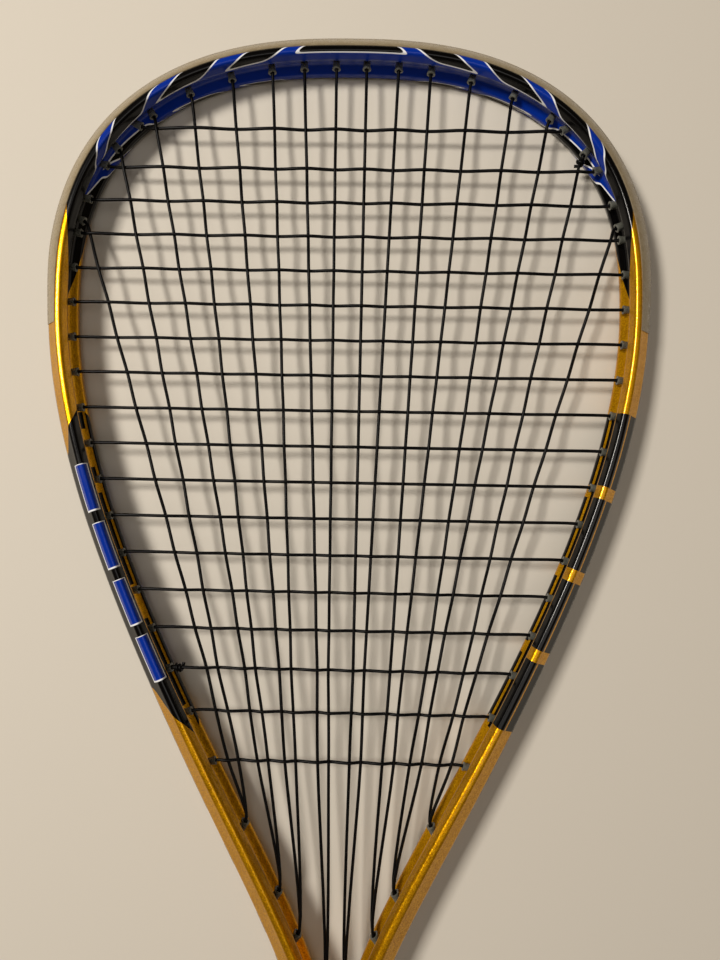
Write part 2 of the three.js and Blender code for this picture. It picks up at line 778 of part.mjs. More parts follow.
// A loft of such sections along the handle, each given as place, width and depth
function handleBody(sections) {
  const rings = sections.map(([place, width, depth]) => (
    octagon(width, depth).map(([x, z]) => new THREE.Vector3(x, place, z))));
  const outline = octagon(sections[0][1], sections[0][2]).map(([x, z]) => new THREE.Vector2(x, z));
  return solid(loft(rings, false, outline));
}

// Frame: the hoop, its neck and shaft, less the outer groove, the holes and the string's tunnel
const bodies = new Map();
const allHoles = [
  ...mains.map((main) => main.top), ...crosses.flatMap((cross) => [cross.left, cross.right]),
  ...mains.filter((main, i) => i % 2 === 0).map((main) => main.throat)];
const palletEnd = capEndWall + capHollow;
const palletTop = neckPlace - neckFlare - clearance;
const grooveStart = wallLengthNear(
  new THREE.Vector2(throatRadius, throatPlace - throatRadius), throatArcLength / 2);
const tunnelFloor = neckWidth / 2 - grooveDepth;
const tubeFlat = halfString + boreClearance + barrelWall;

function neckGroove(side) {
  const height = throatPlace - tunnelPlace + tubeFlat;
  const cutter = new THREE.BoxGeometry(grooveDepth + overrun, height, grooveHeight);
  cutter.translate(side * (tunnelFloor + (grooveDepth + overrun) / 2),
    tunnelPlace - tubeFlat - clearance + height / 2, 0);
  return solid(cutter);
}

function makeFrame() {
  const rings = hoopStations.map((length) => ringAt(length, frameProfile(frameWidthAt(length))));
  const hoop = solid(loft(rings, true));
  const shaft = handleBody([
    [palletEnd, shaftWidth, shaftDepth], [neckPlace - neckFlare, shaftWidth, shaftDepth],
    [neckPlace, neckWidth, neckDepth], [throatPlace - throatRadius, neckWidth, neckDepth],
    [throatPlace - throatRadius / 4, neckWidth - throatRadius, neckDepth]]);
  const groove = carried(grooveStart, 2 * halfWall - grooveStart, grooveProfile);
  const holes = allHoles.map((hole) => boreThrough(hole, frameHoleFlat(hole)));
  const tunnel = prism(new THREE.Vector2(0, tunnelPlace), sideways, tubeFlat + clearance,
    -neckWidth, neckWidth, boreSides);
  return hoop.add(shaft).subtract(wasm.Manifold.union(
    [groove, neckGroove(-1), neckGroove(1), tunnel, ...holes]));
}
bodies.set('frame', makeFrame());

// Clear parts in the groove: the bumper over the head, a strip on each side, inserts at the throat
const bumperEnd = wallLengthAtPlace(bumperEndPlace);
const stripEnd = wallLengthAtPlace(stripEndPlace);
const inBumper = (hole) => around(hole.outerLength) > bumperEnd
  && around(hole.outerLength) < 2 * halfWall - bumperEnd;
const sideHoles = crosses.flatMap((cross) => [cross.left, cross.right]);
const headHoles = [...mains.map((main) => main.top), ...sideHoles.filter(inBumper)];
bodies.set('head_bumper', clearStrip(
  bumperEnd, 2 * halfWall - bumperEnd, bumperProfile, headHoles));
const stripTop = bumperEnd - clearance;
const stripHoles = sideHoles.filter((hole) => !inBumper(hole));
bodies.set('right_grommet_strip', clearStrip(stripEnd, stripTop, channelProfile,
  stripHoles.filter((hole) => hole.length > 0)));
bodies.set('left_grommet_strip', clearStrip(2 * halfWall - stripTop, 2 * halfWall - stripEnd,
  channelProfile, stripHoles.filter((hole) => hole.length < 0)));

mains.forEach((main, i) => {
  if (i % 2 === 0) {
    const middle = around(main.throat.outerLength);
    const edge = grooveStart + clearance;
    bodies.set(`throat_grommet_${i / 2 + 1}`, clearStrip(
      Math.max(middle - insertLength / 2, edge),
      Math.min(middle + insertLength / 2, 2 * halfWall - edge), channelProfile, [main.throat]));
  }
});
bodies.set('crossover_tube', prism(new THREE.Vector2(0, tunnelPlace), sideways, tubeFlat,
  -tunnelFloor, tunnelFloor, boreSides).subtract(prism(new THREE.Vector2(0, tunnelPlace),
  sideways, tubeFlat - barrelWall, -neckWidth, neckWidth, boreSides)));

bodies.set('string', solid(tube(stringPoints, halfString, stringSides)));

// Handle: the pallet's clearances stack outwards to the grip, the tape and the collar
const capOver = clearance + capWall;
const palletHole = 2 * clearance;
const wrapInner = (width) => width + 2 * clearance;
bodies.set('handle_pallet', handleBody([
  [palletEnd, palletWidth, palletDepth], [palletTop, palletWidth, palletDepth]])
  .subtract(handleBody([
    [palletEnd - overrun, shaftWidth + palletHole, shaftDepth + palletHole],
    [palletTop + overrun, shaftWidth + palletHole, shaftDepth + palletHole]])));

// Butt cap: a flared rim, a skirt over the pallet and two small holes for a wrist cord
const skirtWidth = palletWidth + 2 * capOver;
const skirtDepth = palletDepth + 2 * capOver;
const capEdge = capRimLength / 4;
function makeButtCap() {
  const outer = handleBody([
    [0, capRimWidth - 2 * capEdge, capRimDepth - 2 * capEdge],
    [capEdge, capRimWidth, capRimDepth], [capRimLength - capEdge, capRimWidth, capRimDepth],
    [capRimLength, skirtWidth + gripThickness * 2, skirtDepth + gripThickness * 2],
    [capRimLength, skirtWidth, skirtDepth], [capLength, skirtWidth, skirtDepth]]);
  const pocket = handleBody([
    [palletEnd - clearance, palletWidth + palletHole, palletDepth + palletHole],
    [capLength + overrun, palletWidth + palletHole, palletDepth + palletHole]]);
  const hollow = handleBody([
    [capEndWall, shaftWidth, shaftDepth], [palletEnd, shaftWidth, shaftDepth]]);
  const cordHoles = [-1, 1].map((side) => prism(
    new THREE.Vector2(side * tetherHolePitch / 2, 0), new THREE.Vector2(0, 1), tetherHole / 2,
    -overrun, capEndWall + overrun, 2 * gripSides));
  return outer.subtract(wasm.Manifold.union([pocket, hollow, ...cordHoles]));
}
bodies.set('butt_cap', makeButtCap());

// Grip: one strip wound on the handle. Its edge laps the turn before, which leaves a spiral step
const gripStart = capRimLength + clearance;
const gripEnd = palletTop - clearance;
const capStep = capLength + clearance;
function coreAt(place) {
  const share = THREE.MathUtils.smoothstep(place, capStep, capStep + capOver);
  return [THREE.MathUtils.lerp(skirtWidth, palletWidth, share),
    THREE.MathUtils.lerp(skirtDepth, palletDepth, share)];
}
function makeGrip() {
  const turns = Math.ceil((gripEnd - gripStart) / gripPitch) + 3;
  const rows = [];
  for (let turn = 0; turn < turns; turn += 1) {
    rows.push([turn, gripStep], [turn + lapShare, 0]);
  }
  const columns = gripSides;
  const first = gripStart - 2 * gripPitch;
  const grid = rows.map(([phase, rise]) => Array.from({ length: columns }, (unused, k) => {
    const place = first + gripPitch * (phase + k / columns);
    const [width, depth] = coreAt(place);
    const thick = 2 * (clearance + gripThickness + rise);
    const [x, z] = octagon(width + thick, depth + thick)[k];
    return new THREE.Vector3(x, place, z);
  }));
  const points = grid.flat();
  const at = (row, column) => (row + 2 * Math.floor(column / columns)) * columns + column % columns;
  const index = [];
  const lastRow = rows.length - 1;
  for (let row = 0; row < lastRow; row += 1) {
    for (let k = 0; k < columns; k += 1) {
      if (row + 3 <= lastRow || k < columns - 1) {
        index.push(at(row, k), at(row + 1, k + 1), at(row, k + 1));
        index.push(at(row, k), at(row + 1, k), at(row + 1, k + 1));
      }
    }
  }
  const bottom = points.push(new THREE.Vector3(0, first - gripPitch, 0)) - 1;
  const top = points.push(new THREE.Vector3(0, first + gripPitch * (turns + 1), 0)) - 1;
  const edges = new Map();
  for (let i = 0; i < index.length; i += 3) {
    for (const [a, b] of [[0, 1], [1, 2], [2, 0]]) {
      edges.set(`${index[i + a]},${index[i + b]}`, [index[i + a], index[i + b]]);
    }
  }
  const open = [...edges.values()].filter(([a, b]) => !edges.has(`${b},${a}`));
  const middleRow = (lastRow / 2) * columns;
  open.forEach(([a, b]) => index.push(b, a, a < middleRow ? bottom : top));
  const geometry = new THREE.BufferGeometry();
  const flat = new Float32Array(points.flatMap((point) => point.toArray()));
  geometry.setAttribute('position', new THREE.BufferAttribute(flat, 3));
  geometry.setIndex(index);
  const bounds = handleBody([
    [gripStart, capRimWidth * 2, capRimWidth * 2], [gripEnd, capRimWidth * 2, capRimWidth * 2]]);
  const core = handleBody([
    [gripStart - overrun, wrapInner(skirtWidth), wrapInner(skirtDepth)],
    [capStep, wrapInner(skirtWidth), wrapInner(skirtDepth)],
    [capStep + capOver, wrapInner(palletWidth), wrapInner(palletDepth)],
    [gripEnd + overrun, wrapInner(palletWidth), wrapInner(palletDepth)]]);
  return solid(geometry).intersect(bounds).subtract(core);
}
bodies.set('grip_wrap', makeGrip());

// Tape over the grip's upper end, and the rubber collar over the tape and the neck
const wrapThick = 2 * (clearance + gripThickness + gripStep);
const [wrapWidth, wrapDepth] = [palletWidth + wrapThick, palletDepth + wrapThick];
const tapeTop = gripEnd;
const tapeInner = 2 * clearance;
const tapeOuter = tapeInner + 2 * tapeThickness;
bodies.set('grip_finishing_tape', handleBody([
  [tapeTop - tapeLength, wrapWidth + tapeOuter, wrapDepth + tapeOuter],
  [tapeTop, wrapWidth + tapeOuter, wrapDepth + tapeOuter]]).subtract(handleBody([
  [tapeTop - tapeLength - overrun, wrapWidth + tapeInner, wrapDepth + tapeInner],
  [tapeTop + overrun, wrapWidth + tapeInner, wrapDepth + tapeInner]])));

const collarInner = tapeOuter + 2 * clearance;
const collarOuter = collarInner + 2 * collarWall;
const collarTop = neckPlace;
const collarNeck = 2 * clearance;
bodies.set('grip_collar', handleBody([
  [collarTop - collarLength, wrapWidth + collarOuter, wrapDepth + collarOuter],
  [tapeTop, wrapWidth + collarOuter, wrapDepth + collarOuter],
  [collarTop, neckWidth + collarNeck + collarWall, neckDepth + collarNeck + collarWall],
]).subtract(handleBody([
  [collarTop - collarLength - overrun, wrapWidth + collarInner, wrapDepth + collarInner],
  [tapeTop + clearance, wrapWidth + collarInner, wrapDepth + collarInner],
  [collarTop, neckWidth + collarNeck, neckDepth + collarNeck],
  [collarTop + overrun, neckWidth + collarNeck, neckDepth + collarNeck]])));

// Colours and finishes of the pieces
const finishes = {
  frame: { color: 0xc88c14, roughness: 0.3, metalness: 0.6 },
  head_bumper: { color: 0x9a9890, roughness: 0.35, metalness: 0 },
  grommet: { color: 0xa8a69e, roughness: 0.35, metalness: 0 },
  string: { color: 0x141416, roughness: 0.4, metalness: 0 },
  handle_pallet: { color: 0x3a3a3c, roughness: 0.8, metalness: 0 },
  butt_cap: { color: 0x18181a, roughness: 0.5, metalness: 0 },
  grip: { color: 0x1c1c1e, roughness: 0.85, metalness: 0 },
};
const finishNames = Object.keys(finishes);
const racket = new THREE.Group();
for (const [name, body] of bodies) {
  const finish = finishNames.find((key) => name.includes(key)) ?? 'grommet';
  const mesh = new THREE.Mesh(toGeometry(body), new THREE.MeshStandardMaterial(finishes[finish]));
  mesh.name = name;
  racket.add(mesh);
}
racket.position.set(0, -overallLength / 2, capRimDepth / 2);

export default racket;
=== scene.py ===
"""Looks of a racquetball racket that lies on a pale cloth, seen from above."""

import math

import bmesh
import bpy
import numpy as np
from mathutils import Matrix, Vector

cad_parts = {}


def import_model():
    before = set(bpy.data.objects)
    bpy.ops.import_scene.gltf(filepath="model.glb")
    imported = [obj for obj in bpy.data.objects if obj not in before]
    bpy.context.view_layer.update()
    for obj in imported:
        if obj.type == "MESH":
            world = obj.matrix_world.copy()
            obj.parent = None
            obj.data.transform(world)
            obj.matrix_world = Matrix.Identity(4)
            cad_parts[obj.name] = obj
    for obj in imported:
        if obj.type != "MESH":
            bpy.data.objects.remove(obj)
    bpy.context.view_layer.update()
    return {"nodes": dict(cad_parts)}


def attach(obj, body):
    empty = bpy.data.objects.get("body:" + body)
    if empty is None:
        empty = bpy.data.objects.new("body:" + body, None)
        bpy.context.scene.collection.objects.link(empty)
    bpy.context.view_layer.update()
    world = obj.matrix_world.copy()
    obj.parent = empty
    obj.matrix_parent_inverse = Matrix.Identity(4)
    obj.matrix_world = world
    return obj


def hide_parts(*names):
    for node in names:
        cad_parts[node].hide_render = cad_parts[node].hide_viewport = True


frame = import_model()

# Lengths in mm, Y from the butt and Z from the string bed; row() turns them into the frame
MM = 0.001
OVERALL_LENGTH = 558.8
BED_HEIGHT = 16.5
HEAD_INSIDE_WIDTH = 224.8
WIDEST_PLACE = 449.8
THROAT_PLACE = 164.1
THROAT_RADIUS = 5.6
THROAT_ANGLE = 16
LEG_JOIN_PLACE = 242.4
LEG_JOIN_HALF_WIDTH = 38.8
LEG_ANGLE = 27.75
CROWN_EXPONENT = 2.52
LEG_START_SHARE, LEG_END_SHARE = 0.27, 0.37
FLANK_START_SHARE, FLANK_END_SHARE = 0.337, 0.293
ARC_POINTS, LEG_STEPS, FLANK_STEPS, CROWN_STEPS = 25, 80, 160, 240
HEAD_FRAME_WIDTH, LEG_FRAME_WIDTH = 8.4, 10
WIDEN_FROM, WIDEN_TO = 60, 210
FRAME_DEPTH = 19.6
GROOVE_DEPTH, GROOVE_HEIGHT = 2.4, 6.8
CHANNEL_WALL, STRIP_PROUD, BUMPER_PROUD = 0.7, 0.4, 1.2
BUMPER_END_PLACE, STRIP_END_PLACE = 442.4, 252.4
STRING_DIAMETER = 1.3
BARREL_PROUD, KNEE_LENGTH = 0.8, 1.0
PAIR_SPREAD = 4.6
FIRST_CROSS_PLACE, CROSS_PITCH, FIRST_PITCH_EXTRA = 524.7, 13.752, 2.6
PITCH_GROWTH, FAN_GROWTH, FAN_POWER = 0.12, 0.34, 12
MAIN_PLACES = (0.969, 0.845, 0.72, 0.586, 0.434, 0.288, 0.171, 0.055)
THROAT_HOLES = (0.982, 0.628, 0.406, 0.055)
MAIN_COUNT, CROSS_COUNT = 16, 18
TUNNEL_PLACE, TUNNEL_MOUTH = 152.2, 12.0
HALF_STRING = STRING_DIAMETER / 2
# Crossing strings press into one another a little
STACK_HALF = 0.98 * HALF_STRING
# Room between neighbouring pieces, and around the string in its groove
CLEARANCE = 0.3


def row(x, y, z):
    return Vector((x * MM, (y - OVERALL_LENGTH / 2) * MM, (z + BED_HEIGHT) * MM))


def lerp(a, b, share):
    return a + (b - a) * share


def smoothstep(value, low, high):
    share = min(max((value - low) / (high - low), 0), 1)
    return share * share * (3 - 2 * share)


def unit(x, y):
    size = math.hypot(x, y)
    return np.array([x / size, y / size])


# Inner wall of the hoop


def heading(angle):
    return np.array([math.sin(math.radians(angle)), math.cos(math.radians(angle))])


def bezier(start, turn, reach, end, end_turn, end_reach, steps):
    """A curve between places, with its heading and the reach of its handle at each, by its span."""
    span = np.linalg.norm(end - start)
    b, c = start + heading(turn) * span * reach, end - heading(end_turn) * span * end_reach
    t = np.linspace(0, 1, steps + 1)[:, None]
    return (1 - t) ** 3 * start + 3 * (1 - t) ** 2 * t * b + 3 * (1 - t) * t * t * c + t**3 * end


def half_wall_points():
    turn = np.linspace(-90, -THROAT_ANGLE, ARC_POINTS)[:, None] * math.pi / 180
    arc = np.hstack([np.cos(turn), 1 + np.sin(turn)]) * THROAT_RADIUS + [0, THROAT_PLACE]
    join = np.array([LEG_JOIN_HALF_WIDTH, LEG_JOIN_PLACE])
    widest = np.array([HEAD_INSIDE_WIDTH / 2, WIDEST_PLACE])
    leg_ends = (arc[-1], THROAT_ANGLE, LEG_START_SHARE, join, LEG_ANGLE, LEG_END_SHARE)
    flank_ends = (join, LEG_ANGLE, FLANK_START_SHARE, widest, 0, FLANK_END_SHARE)
    leg, flank = bezier(*leg_ends, LEG_STEPS), bezier(*flank_ends, FLANK_STEPS)
    crown_height = OVERALL_LENGTH - BUMPER_PROUD - HEAD_FRAME_WIDTH - WIDEST_PLACE
    turn = np.linspace(0, math.pi / 2, CROWN_STEPS + 1)[1:, None]
    power = 2 / CROWN_EXPONENT
    crown_x = widest[0] * np.maximum(np.cos(turn), 0) ** power
    crown_y = WIDEST_PLACE + crown_height * np.sin(turn) ** power
    points = np.vstack([arc, leg[1:], flank[1:], np.hstack([crown_x, crown_y])])
    points[0, 0] = points[-1, 0] = 0
    return points


WALL = half_wall_points()
WALL_LENGTHS = np.r_[0, np.cumsum(np.linalg.norm(np.diff(WALL, axis=0), axis=1))]
HALF_WALL = WALL_LENGTHS[-1]
steps_along = np.gradient(WALL, axis=0)
steps_along /= np.linalg.norm(steps_along, axis=1)[:, None]
WALL_NORMALS = np.c_[steps_along[:, 1], -steps_along[:, 0]]
WALL_NORMALS[0], WALL_NORMALS[-1] = (0, -1), (0, 1)


def signed(length):
    """A length counted on past the head tip, as one on the left side."""
    return length - 2 * HALF_WALL if length > HALF_WALL else length


def wall_at(length):
    """Point and outward normal; the length runs from the throat, positive on the right."""
    length = signed(length)
    size = min(abs(length), HALF_WALL)
    side = -1 if length < 0 else 1
    x, y, nx, ny = (
        float(np.interp(size, WALL_LENGTHS, column))
        for column in (WALL[:, 0], WALL[:, 1], WALL_NORMALS[:, 0], WALL_NORMALS[:, 1])
    )
    return np.array([side * x, y]), unit(side * nx, ny)


def frame_width_at(length):
    share = smoothstep(abs(signed(length)), WIDEN_FROM, WIDEN_TO)
    return lerp(LEG_FRAME_WIDTH, HEAD_FRAME_WIDTH, share)


def wall_length_at_place(place):
    return float(np.interp(place, WALL[:, 1], WALL_LENGTHS))


def crown_length_at(half_width):
    top = WALL[:, 1] >= WIDEST_PLACE
    return float(np.interp(-half_width, -WALL[top, 0], WALL_LENGTHS[top]))


# Closely spaced places on the wall
PLACES_PER_MM = 20
DENSE = np.linspace(-HALF_WALL, HALF_WALL, int(2 * HALF_WALL * PLACES_PER_MM))
DENSE_POINTS = np.c_[
    np.sign(DENSE) * np.interp(abs(DENSE), WALL_LENGTHS, WALL[:, 0]),
    np.interp(abs(DENSE), WALL_LENGTHS, WALL[:, 1]),
]


def nearest_wall(place):
    distances = np.hypot(*(DENSE_POINTS - place).T)
    i = int(distances.argmin())
    return float(DENSE[i]), float(distances[i])


# Holes and the string's route

# Halvings that find a hole's end, and how far a hole at the head turns towards its string
HALVINGS, TOP_AIM_SHARE = 18, 0.35


def channel_out(width):
    return width - GROOVE_DEPTH + 2 * CLEARANCE + CHANNEL_WALL + HALF_STRING


def make_hole(length, aim, double=False):
    point, _ = wall_at(length)
    low, high = 0.0, FRAME_DEPTH
    outer = length
    for _ in range(HALVINGS):
        middle = (low + high) / 2
        outer, reached = nearest_wall(point + aim * middle)
        if reached < channel_out(frame_width_at(outer)):
            low = middle
        else:
            high = middle
    return {
        "length": length,
        "point": point,
        "aim": aim,
        "knee": point - aim * (BARREL_PROUD + KNEE_LENGTH),
        "exit": point + aim * low,
        "outer": outer,
        "double": double,
    }


def between(length, run, share):
    return unit(*(wall_at(length)[1] + run * share))


def cross_places():
    places = [FIRST_CROSS_PLACE]
    for i in range(1, CROSS_COUNT):
        t = (i - 1) / (CROSS_COUNT - 2)
        growth = 1 + PITCH_GROWTH * t + FAN_GROWTH * t**FAN_POWER
        places.append(places[-1] - CROSS_PITCH * growth - (FIRST_PITCH_EXTRA if i == 1 else 0))
    return places


def mirrored(i):
    return min(i, MAIN_COUNT - 1 - i)


TIE_MAIN, TIE_CROSS = MAIN_COUNT - 2, CROSS_COUNT - 3


def make_mains():
    tops = [crown_length_at(share * HEAD_INSIDE_WIDTH / 2) for share in MAIN_PLACES]
    places = [lerp(THROAT_PLACE, LEG_JOIN_PLACE, share) for share in THROAT_HOLES]
    feet = [wall_length_at_place(place) for place in places]
    made = []
    for i in range(MAIN_COUNT):
        side = -1 if i < MAIN_COUNT // 2 else 1
        top, foot = side * tops[mirrored(i)], side * feet[mirrored(i) // 2]
        run = unit(*(wall_at(top)[0] - wall_at(foot)[0]))
        hole = make_hole(top, between(top, run, TOP_AIM_SHARE), i == TIE_MAIN)
        made.append({"run": run, "foot_length": foot, "top": hole})
    for i in range(0, MAIN_COUNT, 2):
        run = -unit(*(made[i]["run"] + made[i + 1]["run"]))
        foot = made[i]["foot_length"]
        made[i]["foot"] = made[i + 1]["foot"] = make_hole(foot, between(foot, run, 1), True)
    return made


def make_crosses():
    made = []
    for j, place in enumerate(cross_places()):
        length = wall_length_at_place(place)
        aside = np.array([1.0, 0.0])
        left = make_hole(-length, between(-length, -aside, 1), j == TIE_CROSS)
        right = make_hole(length, between(length, aside, 1))
        run_place = (left["knee"][1] + right["knee"][1]) / 2
        made.append({"place": place, "run_place": run_place, "left": left, "right": right})
    return made


MAINS = make_mains()
CROSSES = make_crosses()


def straight_main_at(i, place):
    top, foot = MAINS[i]["top"]["knee"], MAINS[i]["foot"]["knee"]
    return lerp(foot[0], top[0], (place - foot[1]) / (top[1] - foot[1]))


def main_at(i, place):
    mate = i + 1 if i % 2 == 0 else i - 1
    own, other = straight_main_at(i, place), straight_main_at(mate, place)
    half = max(abs(own - other), PAIR_SPREAD) / 2
    return (own + other) / 2 + (-half if i < mate else half)


def meets(i, j):
    return CROSSES[j]["place"] < MAINS[i]["top"]["knee"][1] - STRING_DIAMETER


def over_sign(i, j):
    """One where a main passes over a cross, and minus one where it passes under."""
    return 1 if (i + j) % 2 == 0 else -1


def around(length):
    return length + 2 * HALF_WALL if length < 0 else length


def channel_point(length):
    """The string's place in the outer groove."""
    point, normal = wall_at(length)
    return point + normal * channel_out(frame_width_at(length))


def stacked(sign):
    return (sign * STACK_HALF,) * 3


def throat_sign(i):
    return over_sign(i, CROSS_COUNT - 1)


# Heights of the string: where it passes itself in the groove, in a bore, at a knee, in the groove
PASS_LIFT, BORE_LIFT, KNEE_LIFT, CHANNEL_LIFT = 1.4, 0.34, 0.15, 1.0
# A knot's points in each turn, and its tail in string diameters
KNOT_STEPS, KNOT_TAIL = 12, 1.4


def way_to(a, b):
    return 1 if around(b["outer"]) > around(a["outer"]) else -1


def main_top_heights(i):
    if i == TIE_MAIN:
        return stacked(-1)
    first = next(j for j in range(CROSS_COUNT) if meets(i, j))
    side = -1 if mirrored(i) < 2 else 0
    return KNEE_LIFT * over_sign(i, first), side * BORE_LIFT, side * CHANNEL_LIFT


def cross_heights(j, right):
    if not right and j == TIE_CROSS:
        return stacked(1)
    met = [i for i in range(MAIN_COUNT) if meets(i, j)]
    first = met[-1] if right else met[0]
    side = 1 if j < 4 or (not right and j > TIE_CROSS) else 0
    return -KNEE_LIFT * over_sign(first, j), side * BORE_LIFT, side * CHANNEL_LIFT


def string_route():
    """The one string's points, from the knot on the left to the knot at the head."""
    route = []

    def lay(place, z):
        route.append((float(place[0]), float(place[1]), float(z)))

    def lay_crossings(mains, crosses, backwards, side):
        met = [(i, j) for i in mains for j in crosses if meets(i, j)]
        for i, j in met[::-1] if backwards else met:
            place = CROSSES[j]["run_place"]
            lay((main_at(i, place), place), STACK_HALF * side * over_sign(i, j))

    def lay_hole(hole, other, heights, outwards, way=None):
        """The string's turn between a hole and the groove, on its way to or from another hole."""
        _, normal = wall_at(hole["outer"])
        ahead = np.array([-normal[1], normal[0]]) * (way or way_to(hole, other))
        turn = HALF_STRING + CLEARANCE
        points = [
            (hole["knee"], heights[0]),
            (hole["point"], heights[1]),
            (hole["exit"] - hole["aim"] * turn, heights[1]),
            (hole["exit"] + ahead * turn, heights[2]),
        ]
        for place, z in points if outwards else points[::-1]:
            lay(place, z)

    def lay_run(a, b, from_height, to_height):
        start, end = around(a["outer"]), around(b["outer"])
        steps = max(round(np.linalg.norm(a["exit"] - b["exit"]) / CROSS_PITCH) * 2 + 1, 2)
        for share in (i / steps for i in range(1, steps)):
            lay(channel_point(lerp(start, end, share)), lerp(from_height, to_height, share))

    def lay_knot(hole, main, place, anchor, side, turns, end_first):
        """Turns of the string's end around the run from a hole to a place on a main."""
        direction = unit(*(np.array([main_at(main, place), place]) - hole["knee"]))
        across = np.array([-direction[1], direction[0]])
        radius = 2 * STACK_HALF
        points = []
        for i in range(round(turns * KNOT_STEPS) + 1):
            angle = 2 * math.pi * i / KNOT_STEPS
            along = HALF_STRING + STRING_DIAMETER * i / KNOT_STEPS
            at = hole["knee"] + direction * along + across * radius * math.sin(angle)
            points.append((*at, anchor + side * radius * math.cos(angle)))
        before, last = (np.array(point) for point in points[-2:])
        way = (last - before) / np.linalg.norm(last - before)
        points.append(tuple(last + way * STRING_DIAMETER * KNOT_TAIL))
        route.extend(points[::-1] if end_first else points)

    mains, crosses, low = range(MAIN_COUNT), range(CROSS_COUNT), CROSS_COUNT - 1
    tie_hole, first_foot = CROSSES[TIE_CROSS]["left"], MAINS[0]["foot"]
    lay_knot(tie_hole, 0, CROSSES[TIE_CROSS]["place"], STACK_HALF, -1, 2, True)
    lay_hole(tie_hole, first_foot, stacked(-1), True)
    lay_run(tie_hole, first_foot, -PASS_LIFT, -PASS_LIFT)
    for i in range(0, MAIN_COUNT, 2):
        up, down = MAINS[i], MAINS[i + 1]
        before = tie_hole if i == 0 else MAINS[i - 1]["foot"]
        after = CROSSES[low]["right"] if i + 2 == MAIN_COUNT else MAINS[i + 2]["foot"]
        from_tunnel, to_tunnel = i == MAIN_COUNT // 2, i + 2 == MAIN_COUNT // 2
        lay_hole(up["foot"], before, stacked(throat_sign(i)), False, -1 if from_tunnel else None)
        lay_crossings([i], crosses, True, 1)
        lay_hole(up["top"], down["top"], main_top_heights(i), True)
        passing = -PASS_LIFT if mirrored(i) < 2 else 0
        lay_run(up["top"], down["top"], passing, passing)
        lay_hole(down["top"], up["top"], main_top_heights(i + 1), False)
        lay_crossings([i + 1], crosses, False, 1)
        sign = throat_sign(i + 1)
        lay_hole(down["foot"], after, stacked(sign), True, 1 if to_tunnel else None)
        if to_tunnel:
            lay((-TUNNEL_MOUTH, TUNNEL_PLACE), 0)
            lay((TUNNEL_MOUTH, TUNNEL_PLACE), 0)
        else:
            next_sign = 0 if i + 2 == MAIN_COUNT else throat_sign(i + 2)
            lay_run(down["foot"], after, sign * STACK_HALF, next_sign * STACK_HALF)
    for j in range(low, -1, -1):
        rightwards = j % 2 == 0
        start, end = ("left", "right") if rightwards else ("right", "left")
        before = MAINS[-1]["foot"] if j == low else CROSSES[j + 1][start]
        after = MAINS[TIE_MAIN]["top"] if j == 0 else CROSSES[j - 1][end]
        here, there = CROSSES[j][start], CROSSES[j][end]
        heights = cross_heights(j, rightwards)
        lay_hole(here, before, cross_heights(j, not rightwards), False)
        lay_crossings(mains, [j], not rightwards, -1)
        lay_hole(there, after, heights, True)
        if j:
            levels = (heights[2], cross_heights(j - 1, rightwards)[2])
            passes = not rightwards and j in (1, 3)
            lay_run(there, after, *((PASS_LIFT, PASS_LIFT) if passes else levels))
    end_hole = MAINS[TIE_MAIN]["top"]
    lay_hole(end_hole, CROSSES[0]["right"], stacked(1), False)
    lay_knot(end_hole, TIE_MAIN, CROSSES[1]["place"], -STACK_HALF, 1, 1.5, False)
    return route


# Materials


def linear(colour):
    """An sRGB hex colour as linear RGBA."""
    parts = [int(colour[i : i + 2], 16) / 255 for i in (1, 3, 5)]
    return (*(c / 12.92 if c <= 0.04045 else ((c + 0.055) / 1.055) ** 2.4 for c in parts), 1)


def connect(tree, node, values):
    """Sets or links a node's inputs, by name or number; a text is an sRGB hex colour."""
    for key, value in values.items():
        if isinstance(value, bpy.types.NodeSocket):
            tree.links.new(value, node.inputs[key])
        else:
            node.inputs[key].default_value = linear(value) if isinstance(value, str) else value


def add(tree, kind, *values, out=0, **settings):
    """Adds a node and returns one of its outputs.

    The values are its inputs in order, or one dict of them. A kind in capitals is an operation
    of the Math node.
    """
    made = tree.nodes.new("ShaderNodeMath" if kind.isupper() else kind)
    if kind.isupper():
        made.operation = kind
    for key, value in settings.items():
        setattr(made, key, value)
    given = values[0] if values and isinstance(values[0], dict) else dict(enumerate(values))
    connect(tree, made, given)
    return made.outputs[out]


# Settings that nodes share: of Map Range, and of Mix for two colours
SOFT_STEP = {"interpolation_type": "SMOOTHSTEP"}
OF_COLOURS = {"data_type": "RGBA", "out": 2}


def new_material(name):
    material = bpy.data.materials.new(name)
    material.use_nodes = True
    return material, material.node_tree


def finished(material, values):
    connect(material.node_tree, material.node_tree.nodes["Principled BSDF"], values)
    return material


def place_in_mm(tree):
    """Object coordinates scaled so that one unit is a millimetre."""
    place = add(tree, "ShaderNodeTexCoord", out="Object")
    return add(tree, "ShaderNodeVectorMath", {0: place, "Scale": 1 / MM}, operation="SCALE")


def on_surface(tree, name):
    """The two coordinates of a piece's own map."""
    place = add(tree, "ShaderNodeUVMap", uv_map=name)
    outputs = add(tree, "ShaderNodeSeparateXYZ", place).node.outputs
    return outputs["X"], outputs["Y"]


def mottled(tree, place, size, detail, *step):
    """Soft blotches of a size in mm; the step is a range of noise and the values at its ends."""
    blotches = {"Vector": place, "Scale": 1 / size, "Detail": detail}
    blotches = add(tree, "ShaderNodeTexNoise", blotches)
    return add(tree, "ShaderNodeMapRange", blotches, *step, **SOFT_STEP)


# Painted panels of the hoop. Along: mm from the head tip. Across: mm from the inner side's middle
LINE_HALF_WIDTH, BAR_LINE_HALF_WIDTH, CORNER_BLEND = 0.27, 0.32, 2.0
# Half the soft width at a panel's edge and at a line's
EDGE_BLUR, LINE_BLUR = 0.05, 0.06
